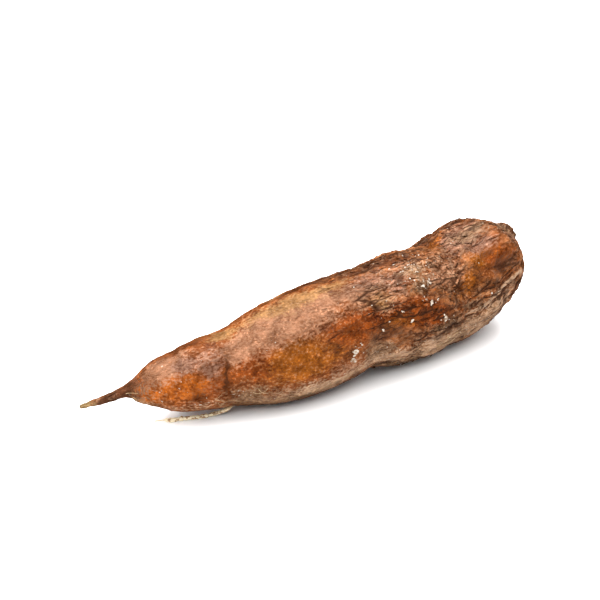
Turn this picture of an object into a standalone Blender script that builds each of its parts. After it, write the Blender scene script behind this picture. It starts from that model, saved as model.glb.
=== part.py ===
"""A whole cassava root, lying on its side: one grown piece with a thin tail, three swollen
lengths, the short woody neck where it was cut from the plant, and two fine rootlets.

Frame: metres, +Z up, and the surface that it lies on is z = 0. X runs along the root from
the tail to the neck, and the origin is under the middle of its bounding box.
"""

from collections import namedtuple
import math

import bmesh
import bpy
import mathutils
import numpy as np

# The root as a row of round sections: the middle of each, and its radius
Section = namedtuple("Section", "x y z radius")
TAIL = (
    Section(-0.1605, 0.0265, 0.0135, 0.0013),
    Section(-0.1510, 0.0220, 0.0165, 0.0022),
    Section(-0.1425, 0.0180, 0.0200, 0.0029),
)
TAIL_LOBE = (
    Section(-0.1360, 0.0155, 0.0225, 0.0038),
    Section(-0.1265, 0.0120, 0.0235, 0.0100),
    Section(-0.1155, 0.0080, 0.0255, 0.0160),
    Section(-0.1035, 0.0045, 0.0255, 0.0197),
    Section(-0.0880, 0.0005, 0.0275, 0.0225),
    Section(-0.0715, -0.0025, 0.0285, 0.0245),
)
MIDDLE_LOBE = (
    Section(-0.0530, -0.0050, 0.0300, 0.0295),
    Section(-0.0300, -0.0060, 0.0320, 0.0327),
    Section(-0.0080, -0.0060, 0.0350, 0.0334),
    Section(0.0125, -0.0050, 0.0372, 0.0321),
)
HEAD_LOBE = (
    Section(0.0350, -0.0040, 0.0365, 0.0343),
    Section(0.0555, -0.0020, 0.0350, 0.0356),
    Section(0.0800, 0.0005, 0.0347, 0.0344),
    Section(0.1035, 0.0035, 0.0390, 0.0355),
)
SHOULDER = (
    Section(0.1175, 0.0060, 0.0435, 0.0337),
    Section(0.1285, 0.0095, 0.0447, 0.0315),
    Section(0.1360, 0.0125, 0.0458, 0.0266),
    Section(0.1417, 0.0150, 0.0467, 0.0202),
    Section(0.1458, 0.0175, 0.0475, 0.0139),
)
NECK = (
    Section(0.1490, 0.0195, 0.0481, 0.0104),
    Section(0.1525, 0.0220, 0.0488, 0.0091),
    Section(0.1580, 0.0255, 0.0500, 0.0088),
)

# The skin is rings of points joined up: how many points a ring has, and how far apart the
# rings stand, on each length
TAIL_RING, FLARE_RING, BODY_RING = 24, 48, 96
TAIL_GAP, BODY_GAP, SHOULDER_GAP = 0.0032, 0.0060, 0.0037
FLARE_SECTIONS = 2

# The bark's relief. Each pattern has how long its features are, how many go round the root,
# how far they stand out where the bark is roughest, the level that they swing about, and
# which part of the noise it reads
Pattern = namedtuple("Pattern", "length round height level place")
SWELLS = Pattern(0.042, 4.0, 0.0012, 0.0, 3.0)
FOLDS = Pattern(0.032, 15.0, 0.0026, 0.40, 17.0)
WRINKLES = Pattern(0.018, 28.0, 0.0016, 0.40, 31.0)
TROUGH_SHARPNESS = 0.75
FULL_RELIEF_RADIUS = 0.030
NOISE_SEED = 11
NOISE_GAIN = 1.6

# How rough the bark is, from the tail's tip to the neck: smooth on the two lobes nearest the
# tail, and wrinkled on the head
ROUGH_PLACES = (-0.161, -0.130, -0.060, 0.000, 0.045, 0.090, 0.158)
ROUGH_SHARES = (0.60, 0.30, 0.28, 0.42, 0.80, 1.00, 1.00)

# Creases that run part of the way round
Crease = namedtuple("Crease", "x angle reach half_width depth")
CREASES = (
    Crease(-0.1330, math.radians(200), math.radians(170), 0.0020, 0.0008),
    Crease(-0.0790, math.radians(165), math.radians(150), 0.0024, 0.0012),
    Crease(0.0150, math.radians(250), math.radians(80), 0.0050, 0.0012),
    Crease(0.0240, math.radians(60), math.radians(70), 0.0060, 0.0013),
    Crease(0.1130, math.radians(200), math.radians(60), 0.0022, 0.0007),
)
CREASE_WANDER, CREASE_WAVES = 0.0022, 3.0

# Scars where a side root broke off: a raised rim round a shallow pit
Scar = namedtuple("Scar", "x angle radius height")
SCARS = (
    Scar(-0.0980, math.radians(100), 0.0026, 0.0007),
    Scar(-0.0380, math.radians(20), 0.0036, 0.0010),
    Scar(0.0270, math.radians(95), 0.0034, 0.0009),
    Scar(0.0620, math.radians(345), 0.0044, 0.0012),
    Scar(0.0870, math.radians(208), 0.0042, 0.0011),
    Scar(0.1060, math.radians(75), 0.0040, 0.0010),
)
RIM_WIDTH_SHARE, PIT_WIDTH_SHARE, PIT_DEPTH_SHARE = 0.45, 0.55, 0.6

# The two ends: the rounded tip of the tail, and the face where the neck was cut
TIP_ROUNDING = 0.0009
NECK_FACE_INSET, NECK_FACE_DISH = 0.0032, 0.0009

# Rootlets: fine side roots, each a tapering tube on a smooth curve through its points, with
# its first point sunk in the root
ROOTLET_ROUNDNESS, STEPS_PER_POINT = 1, 3
ROOTLET_RADII = (0.0012, 0.0005)
FRONT_ROOTLET = (
    (-0.0770, -0.0080, 0.0130),
    (-0.0776, -0.0122, 0.0090),
    (-0.0798, -0.0118, 0.0060),
    (-0.0830, -0.0085, 0.0032),
    (-0.0868, -0.0055, 0.0016),
    (-0.0930, -0.0038, 0.0013),
    (-0.1000, -0.0008, 0.0012),
    (-0.1070, 0.0024, 0.0011),
    (-0.1150, 0.0052, 0.0010),
    (-0.1215, 0.0064, 0.0009),
)
BACK_ROOTLET = (
    (0.0300, 0.0240, 0.0250),
    (0.0295, 0.0320, 0.0215),
    (0.0270, 0.0365, 0.0150),
    (0.0230, 0.0375, 0.0090),
    (0.0195, 0.0365, 0.0045),
)

BARK_COLOUR, BARK_ROUGHNESS = (0.30, 0.13, 0.055, 1.0), 0.55
CUT_COLOUR, CUT_ROUGHNESS = (0.42, 0.30, 0.19, 1.0), 0.85


def smooth_through(knots, values, at):
    """A smooth curve through the knots: cubic pieces that take, at each knot, the slope of
    the parabola through it and its two neighbours."""
    knots, values = np.asarray(knots, float), np.asarray(values, float)
    slopes = np.gradient(values, knots)
    piece = np.clip(np.searchsorted(knots, at) - 1, 0, len(knots) - 2)
    span = knots[piece + 1] - knots[piece]
    t = (at - knots[piece]) / span
    near = (2 * t**3 - 3 * t**2 + 1) * values[piece] + (t**3 - 2 * t**2 + t) * span * slopes[piece]
    far = (3 * t**2 - 2 * t**3) * values[piece + 1] + (t**3 - t**2) * span * slopes[piece + 1]
    return near + far


def distances_along(points):
    """How far along the chain of points each one is."""
    steps = np.linalg.norm(np.diff(points, axis=0), axis=1)
    return np.concatenate([[0.0], np.cumsum(steps)])


def unit(vectors):
    return vectors / np.linalg.norm(vectors, axis=-1, keepdims=True)


def bell(distance, half_width):
    """1 at no distance, falling smoothly to almost nothing at twice the half width."""
    return np.exp(-((distance / half_width) ** 2))


def turn_between(angle, other):
    """The shorter way round from one angle to another, in radians."""
    return (angle - other + math.pi) % (2 * math.pi) - math.pi


class GradientNoise:
    """Smooth noise in space, about -1 to 1, with one feature to a unit."""

    SIZE = 256

    def __init__(self, seed):
        draws = np.random.default_rng(seed)
        self.order = draws.permutation(self.SIZE)
        self.slopes = unit(draws.normal(size=(self.SIZE, 3)))

    def at(self, x, y, z):
        points = np.stack(np.broadcast_arrays(x, y, z), axis=-1)
        cell = np.floor(points).astype(int)
        inside = points - cell
        ease = inside**3 * (inside * (inside * 6 - 15) + 10)
        total = 0.0
        for corner in np.ndindex(2, 2, 2):
            place = (cell + corner) % self.SIZE
            pick = 0
            for axis in range(3):
                pick = self.order[(pick + place[..., axis]) % self.SIZE]
            height = (self.slopes[pick] * (inside - corner)).sum(axis=-1)
            share = np.where(np.array(corner) == 1, ease, 1 - ease).prod(axis=-1)
            total = total + share * height
        return NOISE_GAIN * total


class Spine:
    """The root's middle line and its radius, by the distance along it."""

    def __init__(self, *lengths):
        table = np.array([section for length in lengths for section in length])
        self.knots = distances_along(table[:, :3])
        self.middles, self.radii = table[:, :3], table[:, 3]
        ends = np.cumsum([len(length) for length in lengths])
        self.starts = [self.knots[k] for k in (0, *ends[:-1])]
        self.length = self.knots[-1]

    def middle(self, at):
        return np.stack([smooth_through(self.knots, line, at) for line in self.middles.T], axis=-1)

    def radius(self, at):
        return smooth_through(self.knots, self.radii, at)

    def along(self, at, reach=0.001):
        """The unit vector towards the neck."""
        ahead = self.middle(min(at + reach, self.length))
        return unit(ahead - self.middle(max(at - reach, 0.0)))


def bark_height(x, angle, radius, noise):
    """How far the bark stands out from a plain round section. Slow swells, and lengthwise
    folds and wrinkles with sharp troughs, all wound round the root without a seam; creases
    that run round it; and the scars of side roots."""
    share = min(radius / FULL_RELIEF_RADIUS, 1.0)
    rough = smooth_through(ROUGH_PLACES, ROUGH_SHARES, x) * share

    def pattern(kind):
        turn = kind.round / (2 * math.pi)
        return noise.at(
            x / kind.length + kind.place, turn * np.cos(angle), turn * np.sin(angle) + kind.place
        )

    height = SWELLS.height * share * pattern(SWELLS)
    for kind in (FOLDS, WRINKLES):
        height += kind.height * rough * (np.abs(pattern(kind)) ** TROUGH_SHARPNESS - kind.level)
    for crease in CREASES:
        wander = CREASE_WANDER * np.sin(CREASE_WAVES * angle + crease.x / CREASE_WANDER)
        there = bell(x - crease.x - wander, crease.half_width)
        height -= crease.depth * share * there * bell(turn_between(angle, crease.angle), crease.reach)
    for scar in SCARS:
        away = np.hypot(x - scar.x, turn_between(angle, scar.angle) * radius)
        rim = bell(away - scar.radius, RIM_WIDTH_SHARE * scar.radius)
        pit = bell(away, PIT_WIDTH_SHARE * scar.radius)
        height += scar.height * share * (rim - PIT_DEPTH_SHARE * pit)
    return height


def ring_points(spine, noise, at, count):
    """The bark's points round the middle line at one distance along it. Nothing reaches
    under z = 0, so the undersides of the two big lobes have small flat spots to rest on."""
    angle = np.arange(count) * 2 * math.pi / count
    middle, radius, along = spine.middle(at), spine.radius(at), spine.along(at)
    side = unit(np.cross([0.0, 0.0, 1.0], along))
    up = np.cross(along, side)
    reach = radius + bark_height(middle[0], angle, radius, noise)
    points = middle + np.outer(reach * np.cos(angle), side) + np.outer(reach * np.sin(angle), up)
    points[:, 2] = np.maximum(points[:, 2], 0.0)
    return points


def ring_places(spine):
    """(distance along, number of points) of each ring. They are closest at the two ends."""
    tail, lobe, _, _, shoulder, neck = spine.starts
    body = spine.knots[len(TAIL) + FLARE_SECTIONS]
    lengths = (
        (tail, lobe, TAIL_GAP, TAIL_RING),
        (lobe, body, TAIL_GAP, FLARE_RING),
        (body, shoulder, BODY_GAP, BODY_RING),
        (shoulder, neck, SHOULDER_GAP, BODY_RING),
        (neck, spine.length, TAIL_GAP, FLARE_RING),
    )
    places = []
    for start, end, gap, count in lengths:
        rings = np.linspace(start, end, round((end - start) / gap), endpoint=False)
        places += [(at, count) for at in rings]
    return places + [(spine.length, FLARE_RING)]


def pairs_round(ring):
    return zip(ring, ring[1:] + ring[:1])


def add_ring(mesh, points):
    """A closed loop of edges through the points; returns (its points, its edges)."""
    ring = [mesh.verts.new(point) for point in points]
    return ring, [mesh.edges.new(pair) for pair in pairs_round(ring)]


def close_end(mesh, ring, middle):
    """Closes a ring with a fan of faces round one point."""
    hub = mesh.verts.new(middle)
    return [mesh.faces.new((near, far, hub)) for near, far in pairs_round(ring)]


def new_material(name, colour, roughness):
    material = bpy.data.materials.new(name)
    material.use_nodes = True
    shader = material.node_tree.nodes["Principled BSDF"]
    shader.inputs["Base Color"].default_value = colour
    shader.inputs["Roughness"].default_value = roughness
    shader.inputs["Metallic"].default_value = 0.0
    return material


def new_object(name, data):
    made = bpy.data.objects.new(name, data)
    bpy.context.collection.objects.link(made)
    return made


def evaluated_mesh(obj):
    return bpy.data.meshes.new_from_object(obj.evaluated_get(bpy.context.evaluated_depsgraph_get()))


def make_root(spine, noise):
    """The root: rings of points bridged into a skin, closed over the tail's tip and by the
    dished face of the cut neck."""
    mesh = bmesh.new()
    rings = [add_ring(mesh, ring_points(spine, noise, *place)) for place in ring_places(spine)]
    for (_, near), (_, far) in zip(rings, rings[1:]):
        bmesh.ops.bridge_loops(mesh, edges=near + far)

    tail_end = spine.middle(0.0) - TIP_ROUNDING * spine.along(0.0)
    close_end(mesh, rings[0][0], tail_end)
    neck_face = mesh.faces.new(rings[-1][0])
    rim = bmesh.ops.inset_individual(mesh, faces=[neck_face], thickness=NECK_FACE_INSET)["faces"]
    dish = bmesh.ops.poke(mesh, faces=[neck_face])
    for hub in dish["verts"]:
        hub.co -= mathutils.Vector(NECK_FACE_DISH * spine.along(spine.length))
    for face in rim + dish["faces"]:
        face.material_index = 1
    bmesh.ops.recalc_face_normals(mesh, faces=mesh.faces)

    data = bpy.data.meshes.new("cassava_root")
    mesh.to_mesh(data)
    mesh.free()
    root = new_object("cassava_root", data)
    root.data.materials.append(new_material("bark", BARK_COLOUR, BARK_ROUGHNESS))
    root.data.materials.append(new_material("cut_wood", CUT_COLOUR, CUT_ROUGHNESS))
    return root


def make_rootlet(name, route):
    """One fine side root: a curve with a round bevel that thins towards its tip."""
    route = np.array(route)
    knots = distances_along(route)
    places = np.linspace(0.0, knots[-1], STEPS_PER_POINT * len(route))
    line = np.stack([smooth_through(knots, axis, places) for axis in route.T], axis=-1)
    curve = bpy.data.curves.new(name, "CURVE")
    curve.dimensions = "3D"
    curve.bevel_depth = ROOTLET_RADII[0]
    curve.bevel_resolution = ROOTLET_ROUNDNESS
    curve.use_fill_caps = True
    spline = curve.splines.new("POLY")
    spline.points.add(len(places) - 1)
    widths = np.linspace(1.0, ROOTLET_RADII[1] / ROOTLET_RADII[0], len(places))
    for point, place, width in zip(spline.points, line, widths):
        point.co = (*place, 1.0)
        point.radius = width
    guide = new_object(name + "_line", curve)
    tube = bmesh.new()
    tube.from_mesh(evaluated_mesh(guide))
    bpy.data.objects.remove(guide)
    bmesh.ops.remove_doubles(tube, verts=tube.verts, dist=1e-6)
    bmesh.ops.recalc_face_normals(tube, faces=tube.faces)
    data = bpy.data.meshes.new(name)
    tube.to_mesh(data)
    tube.free()
    return new_object(name, data)


def grow_together(root, rootlets):
    """Makes the rootlets part of the root's own body, by a Boolean union."""
    for rootlet in rootlets:
        union = root.modifiers.new("union", "BOOLEAN")
        union.operation = "UNION"
        union.object = rootlet
    body = evaluated_mesh(root)
    root.modifiers.clear()
    root.data = body
    for rootlet in rootlets:
        bpy.data.objects.remove(rootlet)


def main():
    for obj in list(bpy.data.objects):
        bpy.data.objects.remove(obj)
    spine = Spine(TAIL, TAIL_LOBE, MIDDLE_LOBE, HEAD_LOBE, SHOULDER, NECK)
    root = make_root(spine, GradientNoise(NOISE_SEED))
    rootlets = [
        make_rootlet("front_rootlet", FRONT_ROOTLET),
        make_rootlet("back_rootlet", BACK_ROOTLET),
    ]
    grow_together(root, rootlets)
    root.data.shade_smooth()


main()
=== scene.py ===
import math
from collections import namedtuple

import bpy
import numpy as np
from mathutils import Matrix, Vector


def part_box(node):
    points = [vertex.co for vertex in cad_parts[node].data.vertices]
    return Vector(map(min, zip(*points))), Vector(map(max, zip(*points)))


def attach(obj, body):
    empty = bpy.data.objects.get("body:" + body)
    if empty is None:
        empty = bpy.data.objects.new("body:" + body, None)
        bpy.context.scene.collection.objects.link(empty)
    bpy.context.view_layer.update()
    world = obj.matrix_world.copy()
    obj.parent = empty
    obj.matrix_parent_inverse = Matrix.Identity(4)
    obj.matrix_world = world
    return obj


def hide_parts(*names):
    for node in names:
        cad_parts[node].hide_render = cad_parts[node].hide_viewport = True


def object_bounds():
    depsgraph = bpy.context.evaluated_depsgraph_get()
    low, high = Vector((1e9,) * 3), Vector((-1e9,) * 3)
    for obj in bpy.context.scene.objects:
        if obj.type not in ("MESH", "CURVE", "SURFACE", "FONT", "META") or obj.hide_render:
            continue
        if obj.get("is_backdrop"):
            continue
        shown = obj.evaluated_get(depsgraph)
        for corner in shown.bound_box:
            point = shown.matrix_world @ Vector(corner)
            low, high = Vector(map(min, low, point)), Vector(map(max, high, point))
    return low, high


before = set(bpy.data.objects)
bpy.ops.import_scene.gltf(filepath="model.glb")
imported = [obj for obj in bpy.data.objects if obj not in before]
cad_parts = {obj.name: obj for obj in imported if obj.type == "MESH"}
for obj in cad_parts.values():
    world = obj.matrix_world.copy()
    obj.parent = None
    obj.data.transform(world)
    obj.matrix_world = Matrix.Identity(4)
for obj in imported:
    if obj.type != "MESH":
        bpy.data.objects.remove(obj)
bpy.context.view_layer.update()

# %% [markdown]
# A cassava root's looks are all in its bark: a thin papery skin that is smooth and waxy on the
# thin lengths, and splits into long flakes where the root swelled fastest, at the head.
# The solid that was just loaded has the root's form and its big folds. This script lays a finer
# skin over it, then adds what stands off the skin: flakes, dry flecks, rootlets and cut wood.

NODE, BODY = "cassava_root", "root"
root_low, root_high = (np.array(corner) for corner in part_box(NODE))
print("the solid root is", np.round((root_high - root_low) * 1000, 1), "mm")

# %% [markdown]
# The camera comes first, so that every later step can be looked at from where the photograph
# was taken. It looks along the root from the tail's side and down at it. A camera in Blender
# looks along its own -Z, so a direction "from the root back to the camera" gives its turn.

# %% Place the camera
def add_object(name, data):
    """A new object in the scene, at the origin."""
    thing = bpy.data.objects.new(name, data)
    bpy.context.scene.collection.objects.link(thing)
    return thing


CAMERA_AZIMUTH, CAMERA_ELEVATION = math.radians(-31.0), math.radians(29.0)
CAMERA_DISTANCE, CAMERA_LENS = 0.87, 85.0
CAMERA_AIM = np.array([-0.0255, -0.0060, 0.0641])

towards_camera = Vector((
    math.sin(CAMERA_AZIMUTH) * math.cos(CAMERA_ELEVATION),
    -math.cos(CAMERA_AZIMUTH) * math.cos(CAMERA_ELEVATION),
    math.sin(CAMERA_ELEVATION),
))
camera = add_object("camera", bpy.data.cameras.new("camera"))
camera.data.lens = CAMERA_LENS
camera.location = Vector(CAMERA_AIM) + towards_camera * CAMERA_DISTANCE
camera.rotation_euler = towards_camera.to_track_quat("Z", "Y").to_euler()
bpy.context.scene.camera = camera
print("camera at", [round(value, 3) for value in camera.location])

# %% [markdown]
# Bark is never even, so most of this script is noise that is placed with care. Two kinds do all
# the work. Gradient noise is a smooth random hilly field: it makes folds, swells and grain.
# Cell noise splits space into uneven cells, as mud cracks do: it makes the bark's plates.
# Both are written for whole arrays of points at once, which keeps numpy fast.

# %% Small helpers for shapes
def unit(vectors):
    """Each vector divided by its own length."""
    return vectors / np.linalg.norm(vectors, axis=-1, keepdims=True)


def bell(distance, half_width):
    """e to the minus square of distance over half width: 1 in the middle, almost 0 at twice it."""
    return np.exp(-((distance / half_width) ** 2))


def ramp(value, low, high):
    """0 below low and 1 above high, with the smooth step 3t^2 - 2t^3 between."""
    t = np.clip((value - low) / (high - low), 0.0, 1.0)
    return t * t * (3.0 - 2.0 * t)


def full_turn(count):
    """Angles that divide a full turn evenly."""
    return np.arange(count) * 2 * math.pi / count


def running_sum(steps):
    """The distance covered before the first step and after each one."""
    return np.concatenate([[0.0], np.cumsum(steps)])


def turn_between(angle, other):
    """The shorter way round from one angle to another, in radians."""
    return (angle - other + math.pi) % (2 * math.pi) - math.pi


def smooth_through(knots, values, at):
    """A smooth curve through the knots: cubic pieces that take, at each knot, the slope of
    the parabola through it and its two neighbours."""
    knots, values = np.asarray(knots, float), np.asarray(values, float)
    slopes = np.gradient(values, knots)
    piece = np.clip(np.searchsorted(knots, at) - 1, 0, len(knots) - 2)
    span = knots[piece + 1] - knots[piece]
    t = (at - knots[piece]) / span
    near = (2 * t**3 - 3 * t**2 + 1) * values[piece] + (t**3 - 2 * t**2 + t) * span * slopes[piece]
    far = (3 * t**2 - 2 * t**3) * values[piece + 1] + (t**3 - t**2) * span * slopes[piece + 1]
    return near + far


# %% Two kinds of noise
class Noise:
    """Random fields in space, with one feature to a unit, from one seeded table."""

    SIZE, GAIN = 256, 1.6

    def __init__(self, seed):
        draws = np.random.default_rng(seed)
        self.order = draws.permutation(self.SIZE)
        self.slopes = unit(draws.normal(size=(self.SIZE, 3)))
        self.jitter = draws.random((self.SIZE, 3))
        self.shades = draws.random(self.SIZE)

    def pick(self, place):
        """A table entry for each whole-number place, the same each time."""
        entry = 0
        for axis in range(3):
            entry = self.order[(entry + place[..., axis]) % self.SIZE]
        return entry

    def hills(self, x, y, z):
        """Gradient noise, about -1 to 1: each corner of the cell round a point gives a random
        slope, and the eight slopes are blended with the ease 6t^5 - 15t^4 + 10t^3."""
        points = np.stack(np.broadcast_arrays(x, y, z), axis=-1)
        cell = np.floor(points).astype(int)
        inside = points - cell
        ease = inside**3 * (inside * (inside * 6 - 15) + 10)
        total = 0.0
        for corner in np.ndindex(2, 2, 2):
            slope = self.slopes[self.pick(cell + corner)]
            height = (slope * (inside - corner)).sum(axis=-1)
            share = np.where(np.array(corner) == 1, ease, 1 - ease).prod(axis=-1)
            total = total + share * height
        return self.GAIN * total

    def rough_hills(self, x, y, z, layers=3):
        """Gradient noise summed in layers, each twice as fine and half as high."""
        return sum(self.hills(x * 2**k + 7 * k, y * 2**k, z * 2**k) / 2**k for k in range(layers))

    def cells(self, x, y, z):
        """Cell noise, from one random point in each unit cube. For each place: how much farther
        the second nearest point is than the nearest, the nearest's shade and the way from it."""
        points = np.stack(np.broadcast_arrays(x, y, z), axis=-1)
        cell = np.floor(points).astype(int)
        nearest = np.full(points.shape[:-1], np.inf)
        second, shade, away = nearest.copy(), np.zeros_like(nearest), np.zeros_like(points)
        for step in np.ndindex(3, 3, 3):
            place = cell + step - 1
            entry = self.pick(place)
            offset = points - place - self.jitter[entry]
            distance = np.linalg.norm(offset, axis=-1)
            closer = distance < nearest
            second = np.where(closer, nearest, np.minimum(second, distance))
            shade = np.where(closer, self.shades[entry], shade)
            away = np.where(closer[..., None], offset, away)
            nearest = np.where(closer, distance, nearest)
        return second - nearest, shade, away


NOISE_SEED = 11
noise = Noise(NOISE_SEED)

# %% [markdown]
# The root is a row of round sections on a curved middle line. They are the same real sizes that
# the solid was made from, so the skin lies on the solid. Between them run smooth curves. The
# numbers are metres: the place of each section's middle, and its radius.

# %% The middle line, from the tail's tip to the cut neck
SECTIONS = np.array([
    (-0.1605, 0.0265, 0.0135, 0.0013),
    (-0.1510, 0.0220, 0.0165, 0.0022),
    (-0.1425, 0.0180, 0.0200, 0.0029),
    (-0.1360, 0.0155, 0.0225, 0.0038),
    (-0.1265, 0.0120, 0.0235, 0.0100),
    (-0.1155, 0.0080, 0.0255, 0.0160),
    (-0.1035, 0.0045, 0.0255, 0.0197),
    (-0.0880, 0.0005, 0.0275, 0.0225),
    (-0.0715, -0.0025, 0.0285, 0.0245),
    (-0.0530, -0.0050, 0.0300, 0.0295),
    (-0.0300, -0.0060, 0.0320, 0.0327),
    (-0.0080, -0.0060, 0.0350, 0.0334),
    (0.0125, -0.0050, 0.0372, 0.0321),
    (0.0350, -0.0040, 0.0365, 0.0343),
    (0.0555, -0.0020, 0.0350, 0.0356),
    (0.0800, 0.0005, 0.0347, 0.0344),
    (0.1035, 0.0035, 0.0390, 0.0355),
    (0.1175, 0.0060, 0.0435, 0.0337),
    (0.1285, 0.0095, 0.0447, 0.0315),
    (0.1360, 0.0125, 0.0458, 0.0266),
    (0.1417, 0.0150, 0.0467, 0.0202),
    (0.1458, 0.0175, 0.0475, 0.0139),
    (0.1490, 0.0195, 0.0481, 0.0104),
    (0.1525, 0.0220, 0.0488, 0.0091),
    (0.1580, 0.0255, 0.0500, 0.0088),
])
knots = running_sum(np.linalg.norm(np.diff(SECTIONS[:, :3], axis=0), axis=1))
ROOT_LENGTH = knots[-1]


def middle(at):
    """The middle line's point at each distance along it."""
    return np.stack([smooth_through(knots, line, at) for line in SECTIONS[:, :3].T], axis=-1)


def radius(at):
    """The section's radius at each distance along the middle line."""
    return smooth_through(knots, SECTIONS[:, 3], at)


def along(at, reach=0.001):
    """The unit vector towards the neck: the step from just behind to just ahead."""
    return unit(middle(np.minimum(at + reach, ROOT_LENGTH)) - middle(np.maximum(at - reach, 0.0)))


print("the middle line is", round(ROOT_LENGTH * 1000, 1), "mm long")

# %% [markdown]
# The bark's big relief has the solid's own swells, lengthwise folds, wrinkles with sharp troughs,
# creases that run round, and scars of broken side roots, all in the same places. The folds and
# wrinkles are a little lower here, because the finer relief that is added next stands on them.
# A pattern that must close round the root reads the noise on a cylinder, at (place along, cos,
# sin), so that it meets itself without a seam.

# %% The relief that the solid has too
Pattern = namedtuple("Pattern", "length round height level place")
SWELLS = Pattern(0.042, 4.0, 0.0012, 0.0, 3.0)
FOLDS = Pattern(0.032, 15.0, 0.0022, 0.40, 17.0)
WRINKLES = Pattern(0.018, 28.0, 0.0011, 0.40, 31.0)
TROUGH_SHARPNESS, FULL_RELIEF_RADIUS = 0.75, 0.030
ROUGH_PLACES = (-0.161, -0.130, -0.060, 0.000, 0.045, 0.090, 0.158)
ROUGH_SHARES = (0.60, 0.30, 0.28, 0.42, 0.80, 1.00, 1.00)

Crease = namedtuple("Crease", "x degrees reach half_width depth")
CREASES = (
    Crease(-0.1330, 200, 170, 0.0020, 0.0008),
    Crease(-0.0790, 165, 150, 0.0026, 0.0008),
    Crease(0.0150, 250, 80, 0.0050, 0.0012),
    Crease(0.0240, 60, 70, 0.0060, 0.0013),
    Crease(0.1130, 200, 60, 0.0022, 0.0007),
)
CREASE_WANDER, CREASE_WAVES = 0.0022, 3.0

Scar = namedtuple("Scar", "x degrees radius height")
SCARS = (
    Scar(-0.0980, 100, 0.0026, 0.0007),
    Scar(-0.0380, 20, 0.0036, 0.0010),
    Scar(0.0270, 95, 0.0034, 0.0009),
    Scar(0.0620, 345, 0.0044, 0.0012),
    Scar(0.0870, 208, 0.0042, 0.0011),
    Scar(0.1060, 75, 0.0040, 0.0010),
)
RIM_WIDTH_SHARE, PIT_WIDTH_SHARE, PIT_DEPTH_SHARE = 0.45, 0.55, 0.6


def round_the_root(field, place, angle, length, count, offset=0.0):
    """A noise field read on a cylinder: features of that length along, count of them round."""
    turn = count / (2 * math.pi)
    return field(place / length + offset, turn * np.cos(angle), turn * np.sin(angle) + offset)


def big_relief(x, angle, size):
    """Height over a round section: swells, plus |noise| to a power for folds and wrinkles,
    minus a bell across each crease, plus a ring-shaped bell and a pit for each scar."""
    def hills(kind):
        return round_the_root(noise.hills, x, angle, kind.length, kind.round, kind.place)

    share = np.minimum(size / FULL_RELIEF_RADIUS, 1.0)
    rough = smooth_through(ROUGH_PLACES, ROUGH_SHARES, x) * share
    height = SWELLS.height * share * hills(SWELLS)
    for kind in (FOLDS, WRINKLES):
        height = height + kind.height * rough * (np.abs(hills(kind)) ** TROUGH_SHARPNESS - kind.level)
    for crease in CREASES:
        wander = CREASE_WANDER * np.sin(CREASE_WAVES * angle + crease.x / CREASE_WANDER)
        there = bell(x - crease.x - wander, crease.half_width)
        off_middle = turn_between(angle, math.radians(crease.degrees))
        height -= crease.depth * share * there * bell(off_middle, math.radians(crease.reach))
    for scar in SCARS:
        away = np.hypot(x - scar.x, turn_between(angle, math.radians(scar.degrees)) * size)
        rim = bell(away - scar.radius, RIM_WIDTH_SHARE * scar.radius)
        pit = bell(away, PIT_WIDTH_SHARE * scar.radius)
        height += scar.height * share * (rim - PIT_DEPTH_SHARE * pit)
    return height


# %% [markdown]
# The skin is one grid: rows along the root and columns round it. Even steps along the middle
# line would stretch the faces on the shoulder, where the root narrows quickly, so the rows
# are spaced evenly along the skin itself. Extra rows round off the tail's tip and turn in over
# the neck's rim, and one point closes each end.

# %% Lay out the skin's rows and columns
ROWS_ON_BODY, COLUMNS = 380, 248
TIP_ROWS, TIP_ROUNDING = 5, 0.0013
RIM_SHARES = np.array([0.985, 0.95, 0.90, 0.82, 0.70, 0.55, 0.38, 0.20, 0.08])
RIM_PUSHES = np.array([0.0005, 0.0007, 0.0004, -0.0003, -0.0008, -0.0010, -0.0011, -0.0011, -0.0011])

fine = np.linspace(0.0, ROOT_LENGTH, 4000)
skin_length = running_sum(np.hypot(np.diff(fine), np.diff(radius(fine))))
even = np.linspace(0.0, skin_length[-1], ROWS_ON_BODY)
body_rows = np.interp(even, skin_length, fine)

tip_turn = np.linspace(0.5 * math.pi, 0.0, TIP_ROWS, endpoint=False)[1:]
row_at = np.concatenate([np.zeros(len(tip_turn)), body_rows, np.full(len(RIM_SHARES), ROOT_LENGTH)])
row_share = np.concatenate([np.cos(tip_turn), np.ones(ROWS_ON_BODY), RIM_SHARES])
row_push = np.concatenate([-TIP_ROUNDING * np.sin(tip_turn), np.zeros(ROWS_ON_BODY), RIM_PUSHES])
row_skin = np.interp(row_at, fine, skin_length)
ROWS = len(row_at)

row_middle, row_along = middle(row_at), along(row_at)
row_side = unit(np.cross([0.0, 0.0, 1.0], row_along))
row_up = np.cross(row_along, row_side)
row_radius = radius(row_at)
X, RADIUS, ANGLE = row_middle[:, :1], row_radius[:, None], full_turn(COLUMNS)[None, :]
SKIN = row_skin[:, None] + 0 * ANGLE


def over_skin(length, count, place):
    """Rough hills over the skin's grid: features of that length, and count of them round."""
    return round_the_root(noise.rough_hills, SKIN, ANGLE, length, count, place)


print("skin grid", ROWS, "x", COLUMNS, "and", round(skin_length[-1] * 1000, 1), "mm along the skin")
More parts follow.
